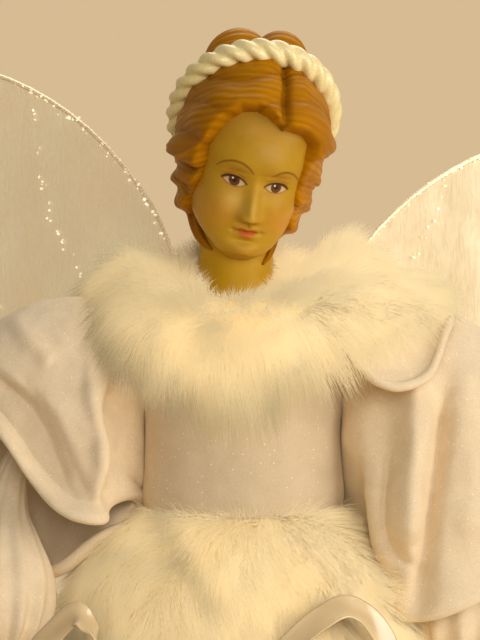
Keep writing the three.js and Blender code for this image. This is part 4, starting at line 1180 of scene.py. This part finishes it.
def skirt(finish):
    top = CORE_BASE + BODICE["low"] - BODICE["gap"]
    waist_wide, waist_deep = over_core(BODICE["low"])
    foot, hem = 1, 74
    edge, hip = PEPLUM["hem"], PEPLUM["depth"] - PEPLUM["thick"] + 1
    radius = through((foot, hem), (mix(foot, edge, 0.42), mix(hem, hip, 0.32)),
                     (mix(foot, edge, 0.79), mix(hem, hip, 0.63)), (edge, hip), (top, waist_wide))
    a = full_turn(336)
    rows = []
    for z in np.linspace(foot, top, 84):
        gather = (top - z) / (top - foot)
        roundness = mix(waist_deep / waist_wide, 1, smooth(gather, 0, 0.25))
        turn_by = 14 * a + 0.5 * np.sin(2 * a)
        fold = 4.5 * gather * (np.cos(turn_by) + 0.22 * np.cos(2 * turn_by + 0.8 * np.sin(3 * a)))
        small = 0.7 * (1 - gather) * np.cos(42 * a + 2 * np.sin(5 * a))
        r = radius(z) + fold * 0.92 + small - 0.1
        ring = oval(a, r, r * roundness, z)
        soft = 0.5 * cloudy(ring * np.array([1, 1, 0.4]), 11, 33)
        rows.append(ring + unit(ring * np.array([1, 1, 0])) * soft[:, None])
    piece = cloth("velvet_skirt", closed_round(np.array(rows)), THICK["skirt"])
    fit(piece, finish, "figure", "velvet", "skirt")


def sleeve(name, rings, lines, finish, flare, roll, step=None):
    """A bell sleeve through a few rings of points, with folds pressed into its front and a rolled hem."""
    side = SIDES[name]
    a, hole = full_turn(len(rings[0])), ARMHOLE["radius"]
    armhole = np.column_stack([side * ARMHOLE["x"] + 0 * a, ARMHOLE["y"] - hole * np.cos(a),
                               ROD_HEIGHT - hole * np.sin(a)])
    net = np.stack([rail(ring, 168, True) for ring in (armhole, *rings)])
    grid = np.stack([rail(net[:, k], 120) for k in range(net.shape[1])], axis=1)
    grid = folded(grid, lines, step)
    s = np.linspace(0, 1, len(grid))[:, None, None]
    out = facing(closed_round(grid))[:, :-1]
    out = out * np.sign(np.sum(out * (grid - grid.mean(axis=1, keepdims=True))))
    flatgrid = grid.reshape(-1, 3)
    rumple = 0.5 * cloudy(flatgrid, 9, 41) + 0.18 * cloudy(flatgrid, 3.2, 42)
    grid = grid + out * rumple.reshape(grid.shape[:2] + (1,)) * smooth(s, 0.02, 0.2)
    calm = unit(evened(out, 8))
    grid = grid + calm * flare * smooth(s, 0.91, 1.0) * smooth(-grid[..., 1:2], 6, 13)
    grid = mix(grid, evened(grid, 3), smooth(s, 0.86, 0.97))
    hem, ahead, aside = grid[-1], unit(evened(grid[-1] - grid[-6], 6)), calm[-1]
    turned = []
    for angle in np.linspace(0.3, 1.3 * PI, 9):
        turned.append(hem + ahead * roll * np.sin(angle) - aside * roll * (1 - np.cos(angle)))
    grid = np.concatenate([grid, np.array(turned)])
    grid[..., 0] = side * np.maximum(side * grid[..., 0], SLEEVE_SIDE)
    piece = cloth(f"bell_sleeve_velvet_{name}", closed_round(grid), THICK["bell"], 0)
    fit(piece, finish, f"arm_{name}", "velvet", f"bell_sleeve_{name}")


# Rings of a sleeve from the shoulder to the hem. Each goes from the front inwards, on the left over a fold
# that doubles back, then along the body, behind and out.
LEFT_RINGS = (
    ((-37, -11.5, 277), (-33.5, -11.5, 272), (-31.5, -10.5, 268), (-29.5, -8.5, 266), (-26.6, -5, 264),
     (-25.6, 0, 263), (-26.2, 6, 264), (-31, 11.5, 269), (-37, 13.5, 277), (-40, 11, 283), (-41.5, 6, 287),
     (-42.5, 0, 288.5), (-41.5, -5, 287), (-39, -9.5, 283)),
    ((-48, -15.5, 270), (-41.4, -16.5, 267), (-34.8, -16.5, 265.5), (-36, -10.5, 263.5), (-30.4, -4.8, 259),
     (-25.6, -1, 254), (-25.5, 8, 252), (-34, 15, 254), (-47, 17, 262), (-54, 15, 271), (-59, 9, 279),
     (-61, 0, 282.5), (-59, -7, 280.5), (-54.5, -12, 276)),
    ((-51, -17.5, 258), (-42, -19, 252.5), (-33, -18.5, 249), (-36, -11.5, 248), (-30.4, -5.2, 246.5),
     (-25.6, -1, 245.5), (-25.5, 5, 243), (-33.5, 7, 240), (-48, 12, 241), (-61, 16, 253), (-68.5, 10, 263),
     (-70.5, 0, 270), (-68, -9, 271), (-61, -14.5, 266.5)),
    ((-51.5, -16.5, 243.8), (-42.5, -18, 234.8), (-35.6, -18, 234), (-37, -11.5, 236.5), (-31.5, -6.6, 238.5),
     (-25.7, -2, 239), (-25.6, 4, 235.5), (-36, -6.5, 227.5), (-46, -4.5, 219), (-59, 13, 222),
     (-70, 11, 236), (-74, 1, 251), (-70.5, -9.5, 262), (-60.5, -15, 256)),
)

# A step, ridges and valleys, as seen from the front: a line, its width and its height towards the viewer.
LEFT_STEP = (((-66, 274), (-58, 269), (-52, 264), (-47, 257), (-43.5, 249), (-40, 241), (-37.5, 236)),
             2.4, -3.6)
LEFT_FOLDS = (
    (((-54, 266), (-48, 259), (-44, 251), (-38.5, 239)), 1.6, -1.6),
    (((-37.5, 275), (-37, 265), (-34.5, 255), (-34.5, 245), (-35, 237)), 2.0, 1.4),
    (((-58, 284), (-52, 277), (-47, 272)), 2.4, 1.2),
)

RIGHT_RINGS = (
    ((38, -12, 277), (34, -11.5, 272), (31, -9.5, 268), (28.5, -7, 266), (26.2, -4, 264), (25.6, 0, 263),
     (26.2, 7, 264), (31.5, 12, 269), (38, 13.5, 277), (43, 11.5, 282), (47, 6, 285), (48.5, 0, 286),
     (47.5, -5, 285), (44, -9.5, 282)),
    ((44, -16, 263), (36, -15, 259), (29.5, -12.5, 256), (26.6, -8.5, 254), (25.7, -4, 252), (25.5, 0, 251),
     (25.5, 9, 250), (33, 15, 253), (46, 17, 260), (56, 15.5, 268), (62, 10, 274), (64.5, 0, 276),
     (62.5, -8, 274), (55, -13.5, 269)),
    ((45, -17.5, 240), (37.5, -16.5, 237.5), (31.2, -13, 235), (32.8, -8, 233.5), (32, -3, 232),
     (28.6, 3, 231), (26, 9, 231), (35, 15.5, 233), (48, 17.5, 238), (60, 16, 246), (69, 10, 254),
     (72, 0, 257), (69, -9, 255), (58, -15.5, 248)),
    ((46, -18.5, 210), (42, -17.5, 209.5), (39.5, -14.5, 209.5), (38.3, -9.5, 210), (37, -4, 210.5),
     (36.8, 0, 211), (38, 9, 211), (42, 15.5, 212), (50, 18, 215), (62, 16, 221), (72, 10, 229), (75, 0, 231),
     (72, -9.5, 226), (59, -17, 215)),
)

RIGHT_FOLDS = (
    (((42.2, 274), (42.4, 255), (41.4, 240), (41, 226)), 3.4, 4.4),
    (((50, 264), (48.2, 250), (46.3, 236), (44.8, 222), (42.8, 208)), 2.3, -4.4),
    (((36.6, 252), (35.6, 233), (37.5, 226), (43, 221)), 1.6, -2.2),
    (((56, 274), (56.5, 250), (57, 225)), 5.0, 1.6),
)


def arm_line(side, spread, drop, turn_in):
    """The run of an arm, from the shoulder by the elbow to a little past the wrist."""
    spread, drop, turn_in = np.radians([spread, drop, turn_in])
    shoulder = np.array([side * ARM["x"], ARM["y"], ROD_HEIGHT])
    down = np.array([side * np.sin(spread), 0, -np.cos(spread)])
    elbow = shoulder + down * ARM["upper"]
    ahead = unit(np.array([-side * np.sin(turn_in), -np.cos(drop), -np.sin(drop)]))
    wrist = elbow + ahead * ARM["fore"]
    return [shoulder - [0, 0, 2.6], shoulder + down * 18, elbow - down * 4.8,
            elbow + ahead * ARM["fore"] * 0.2, elbow + ahead * ARM["fore"] * 0.6, wrist + ahead * 6]


def under_sleeve(name, pose, finish):
    """A puffed sleeve along the forearm, pinched at its cuff."""
    line = rail(arm_line(SIDES[name], *pose), 240)
    way = unit(np.gradient(line, axis=0))
    steps = np.arange(len(line))
    size = through((0.26, 3), (0.4, 4), (0.5, 5.4), (0.59, 8.6), (0.72, 12.3), (0.84, 10.6), (0.915, 4.6),
                   (0.935, 3.2), (0.96, 3.9))
    a = full_turn(130)
    rows = []
    for s in np.linspace(0.26, 0.96, 100):
        k = s * steps[-1]
        at = np.array([np.interp(k, steps, line[:, c]) for c in range(3)])
        first, second = square_to(unit(np.array([np.interp(k, steps, way[:, c]) for c in range(3)])))
        pinch = smooth(s, 0.72, 0.93)
        pleats = (0.03 + 0.11 * pinch) * np.cos(13 * a + 1.2 * np.sin(2 * a))
        r = size(s) * (1 + pleats + 0.05 * np.cos(3 * a + 9 * s))
        rows.append(at + first * (r * np.cos(a))[:, None] + second * (r * np.sin(a))[:, None])
    piece = cloth(f"under_sleeve_velvet_{name}", closed_round(np.array(rows)), THICK["under"])
    fit(piece, finish, f"arm_{name}", "velvet", f"under_sleeve_{name}")


def smooth_hand(name, finish):
    """The hand's own shape, merged and smoothed into one casting, with reddened finger tips."""
    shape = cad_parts[f"hand_{name}"].data.copy()
    piece = bpy.data.objects.new(f"painted_hand_{name}", shape)
    bpy.context.collection.objects.link(piece)
    piece.data.name = piece.name
    tidy_up(piece, 1e-5)
    piece.data.remesh_voxel_size = HAND_GRAIN * MM
    bpy.ops.object.voxel_remesh()
    apply(piece, "SMOOTH", factor=0.6, iterations=6)
    bpy.ops.object.shade_smooth()
    at = spots(piece) / MM
    tips = smooth(at[:, 2].min() + 3.0 - at[:, 2], 0, 2.2)[:, None]
    paint(piece, mix(tone(194, 147, 44), tone(188, 116, 42), 0.55 * tips))
    fit(piece, finish, f"arm_{name}", "painted_skin", f"hand_{name}")


# Wings

def wing_line(lean, count):
    """The wing's outline as out and up from the foot of its stem."""
    stem = HINGE["stem"]
    straight = [(0, -1), (0, 4), (0, 13), (0, 22), (0, 27)]
    shares = ((0.054, 0.397), (0.143, 0.638), (0.33, 0.845), (0.554, 0.966), (0.768, 1), (0.955, 0.879),
              (1, 0.672), (0.92, 0.466), (0.768, 0.259), (0.571, 0.086), (0.393, 0.026), (0.232, 0.026),
              (0.089, 0))
    c, s = np.cos(np.radians(lean)), np.sin(np.radians(lean))
    free = []
    for across, high in shares:
        out, rise = across * WING["span"], high * WING["rise"] - stem / 2
        free.append((out * c + rise * s, stem / 2 + rise * c - out * s))
    return upright((*straight, *free), count, True)


def wing_place(side):
    """How a wing is turned, and where the foot of its stem is."""
    angle = WING["sweep"] if side > 0 else 180 - WING["sweep"]
    return turn("Z", angle), np.array([side * HINGE["x"], HINGE["y"], HINGE["z"]])


def wing(name, finish, sparkle):
    """The sheer panel within the wire, and the glitter along the wire and three veins."""
    side = SIDES[name]
    turned, hinge = wing_place(side)
    lean = WING["lean"] if side > 0 else 0
    body = f"wing_{name}"
    edge = wing_line(lean, 300)
    inwards = unit(np.cross([0, 1, 0], np.gradient(edge, axis=0)))
    edge = edge + inwards * 0.6
    middle = edge.mean(axis=0) + np.array([0, 0, -4])
    rows = []
    for share in np.linspace(0, 1, 46):
        ring = middle + (edge - middle) * share
        ripple = 0.55 * np.sin(ring[:, 0] / 5.2 + 1.5 * cloudy(ring, 22, 51)) * np.sin(PI * min(share, 0.98))
        rows.append(ring + np.outer(ripple * 0.6, [0, 1, 0]))
    points = closed_round(np.array(rows))
    piece = cloth(f"wing_sheer_{name}", points @ turned.T + hinge)
    local = (spots(piece) / MM - hinge) @ turned
    uv = piece.data.uv_layers.active.data
    corners = np.empty(len(piece.data.loops), int)
    piece.data.loops.foreach_get("vertex_index", corners)
    uv.foreach_set("uv", (local[:, [0, 2]] / PANEL_PATTERN)[corners].ravel())
    fit(piece, finish, body, "organza", f"wing_panel_{name}")

    rng = np.random.default_rng(61 if side < 0 else 62)
    veins = (
        ((0.08, 0.05), (0.22, 0.33), (0.361, 0.534), (0.42, 0.64), (0.442, 0.74), (0.46, 0.88)),
        ((0.12, 0.03), (0.4, 0.3), (0.66, 0.5), (0.86, 0.66)),
        ((0.2, 0.03), (0.45, 0.13), (0.66, 0.26)),
    )

    def strewn(line, first, last, count):
        """Places scattered along a line."""
        picked = line[rng.integers(first, last, count)]
        return picked + rng.normal(0, GLITTER["spread"], (count, 3)) * [1, 0.3, 1]

    places = [strewn(edge, 30, 292, GLITTER["edge"])]
    for vein in veins:
        curve = upright(np.array(vein) * [WING["span"], WING["rise"]], 90)
        dust = strewn(curve, 0, 90, GLITTER["vein"])
        places.append(dust[inside(dust[:, [0, 2]], edge[:, [0, 2]])])
    flake = start("flake_pattern", bpy.ops.mesh.primitive_cylinder_add, vertices=6, radius=1, depth=0.3)
    shape, faces = pattern_of(flake)
    flakes = []
    for place in np.vstack(places) @ turned.T + hinge:
        angles = rng.uniform(-70, 70, 3)
        m = turn("Z", angles[0]) @ turn("X", 90 + angles[1]) @ turn("Y", angles[2])
        size = rng.uniform(GLITTER["small"], GLITTER["large"])
        flakes.append(shape * size @ m.T + place - np.array([0, 0.5, 0]))
    dots = many(f"wing_glitter_{name}", np.array(flakes), faces)
    fit(dots, sparkle, body, "glitter_wire")


# Bow

def ribbon(name, line, wide, finish, node):
    """A satin ribbon along a line, a little cupped across."""
    way = unit(np.gradient(line, axis=0))
    wide = unit(wide - way * np.sum(wide * way, axis=1, keepdims=True))
    out = np.cross(way, wide)
    across = np.linspace(-1, 1, 17)
    rows = []
    for at, w, n in zip(line, wide, out):
        cup = 0.18 * (1 - across ** 2)
        rows.append(at + np.outer(across * BOW["ribbon"] / 2, w) + np.outer(cup, n))
    piece = cloth(name, np.array(rows), THICK["ribbon"], 0)
    fit(piece, finish, "figure", "satin_ribbon", node)


def bow(finish):
    low, high = (np.array(c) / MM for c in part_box("bow_knot"))
    knot = (low + high) / 2
    loops = (
        ("left", (1.1, 1.1, 1.1, 1.1, 1.1),
         ((0.04, 0, 0.025), (0.4, 0.03, 0.06), (0.68, 0.1, 0.16), (0.775, 0.15, 0.33), (0.86, 0.19, 0.41),
          (0.98, 0.23, 0.31), (1.13, 0.25, 0.1), (0.98, 0.2, -0.1), (0.42, 0.05, -0.127), (0.04, 0, -0.035))),
        ("right", (1.1, 1.0, 0.62, 1.2, 1.1),
         ((0.04, 0, 0.025), (0.36, 0.025, 0.19), (0.6, 0.09, 0.38), (0.78, 0.16, 0.46), (0.94, 0.24, 0.36),
          (1.04, 0.278, 0.127), (0.8, 0.177, -0.1), (0.405, 0.05, -0.127), (0.04, 0, -0.035))),
    )
    tail = ((0.113, -0.032, -0.3), (0.16, -0.145, -0.65), (0.242, -0.21, -1))

    def from_knot(side, size, *places):
        return [knot + np.array([side * x, y, z]) * size for x, y, z in places]

    for name, flat, route in loops:
        side = SIDES[name]
        line = rail(from_knot(side, BOW["loop"], *route), 110)
        centre, = from_knot(side, BOW["loop"], (0.684, 0.177, 0.127))
        inwards = unit((centre - line) * np.array([1, 0, 1]))
        laid = np.interp(np.linspace(0, 1, len(line)), (0, 0.26, 0.4, 0.54, 1), flat)
        wide = unit(inwards * laid[:, None] + np.array([0, -0.6, 0]))
        ribbon(f"bow_loop_satin_{name}", line, wide, finish, f"bow_loop_{name}")
        begin = knot + np.array([side * (BOW["ribbon"] / 2 + 0.3), -0.6, -4.6])
        line = rail([begin, *from_knot(side, BOW["tail"], *tail)], 70)
        wide = np.tile([1.0, 0, 0], (len(line), 1))
        ribbon(f"bow_tail_satin_{name}", line, wide, finish, f"bow_tail_{name}")
    piece, p = unit_ball("bow_knot_satin", 96, 48)
    around = np.arctan2(p[:, 1], p[:, 0])
    pleats = 1 + 0.06 * np.cos(9 * around + 1.3 * np.sin(2 * around)) * (1 - p[:, 2] ** 2)
    belt = 1 - 0.1 * bell(np.abs(p[:, 2]) - 0.95, 0.2)
    size = BOW["knot"] * np.array([1, 0.85, 1.05])
    settle(piece, knot + p * size * (pleats * belt)[:, None])
    tidy_up(piece)
    fit(piece, finish, "figure", "satin_ribbon", "bow_knot")


# The hard pieces that keep the part's own shape

def hard_pieces():
    looks = {
        "card": plain_stuff("rolled_card", 0.85, tone(196, 172, 128), tone(216, 194, 152), 420, (1, 1, 0.25)),
        "pulp": plain_stuff("moulded_pulp", 0.95, tone(214, 204, 182), tone(236, 228, 208), 300, bumpy=0.4),
        "wood": plain_stuff("dowel_wood", 0.6, tone(164, 120, 70), tone(200, 156, 100), 500, (1, 1, 0.06)),
        "steel": plain_stuff("steel_wire", 0.32, tone(142, 142, 140), tone(176, 176, 172), 900, metallic=1.0),
        "plastic": plain_stuff("moulded_plastic", 0.45, tone(228, 214, 186), tone(238, 226, 200), 700,
                               bumpy=0.03),
        "gilt": plain_stuff("glitter_wire", 0.35, tone(214, 190, 142), tone(255, 246, 222), 2200, bumpy=0.3,
                            metallic=0.35),
    }
    worn = {
        "tree_cone": "card", "torso_core": "pulp", "neck_post": "wood", "shoulder_rod": "steel",
        "rod_stop_left": "steel", "rod_stop_right": "steel", "arm_wire_left": "steel",
        "arm_wire_right": "steel", "wing_bracket": "plastic", "wing_tack_lower": "steel",
        "wing_tack_upper": "steel", "wing_frame_left": "gilt", "wing_frame_right": "gilt",
    }
    for node, look in worn.items():
        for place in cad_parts[node].material_slots:
            place.material = looks[look]


camera_and_lamps()
backdrop_and_floor()
hard_pieces()

skin = skin_paint()
painted_head(skin)
painted_neck(skin)
locks = hair_paint()
carved_hair(locks)
hair_buns(locks)
hair_napes(locks)
rope_band(pearl_rope())

tips, base, pattern = fur_hairs(), fur_backing(), one_hair()
fur_skin("fur_collar_backing", collar_point, base, "fur_collar", (0.58, 0.97))
fur_skin("fur_collar_backing_neck", collar_point, base, "fur_collar", (0.03, 0.62), False)
grow("fur_collar_hairs", collar_point, collar_flow, 71, tips, "fur_collar", pattern)
fur_skin("fur_peplum_backing", peplum_point, base, "fur_peplum")
grow("fur_peplum_hairs", peplum_point, peplum_flow, 72, tips, "fur_peplum", pattern,
     ((-19, 234), (-16, 229), (-13, 224), (-9, 219)))

white = velvet("velvet_white", tone(220, 197, 164), tone(236, 215, 182))
# The bodice wears the white velvet in darker tones: a shaded copy of it, painted shade.
bodice(velvet("velvet_bodice", tone(201, 179, 149), tone(213, 193, 163)))
skirt(white)
sleeve("left", LEFT_RINGS, LEFT_FOLDS, white, 3.2, 1.2, LEFT_STEP)
sleeve("right", RIGHT_RINGS, RIGHT_FOLDS, white, 0.8, 0.9)
shoulder_cap(white)
under_sleeve("left", (40, 72, 0), white)
under_sleeve("right", (34, 86, 2), white)

sheer, sparkle = organza(), glitter()
for name in SIDES:
    smooth_hand(name, skin)
for name in SIDES:
    wing(name, sheer, sparkle)
bow(satin())
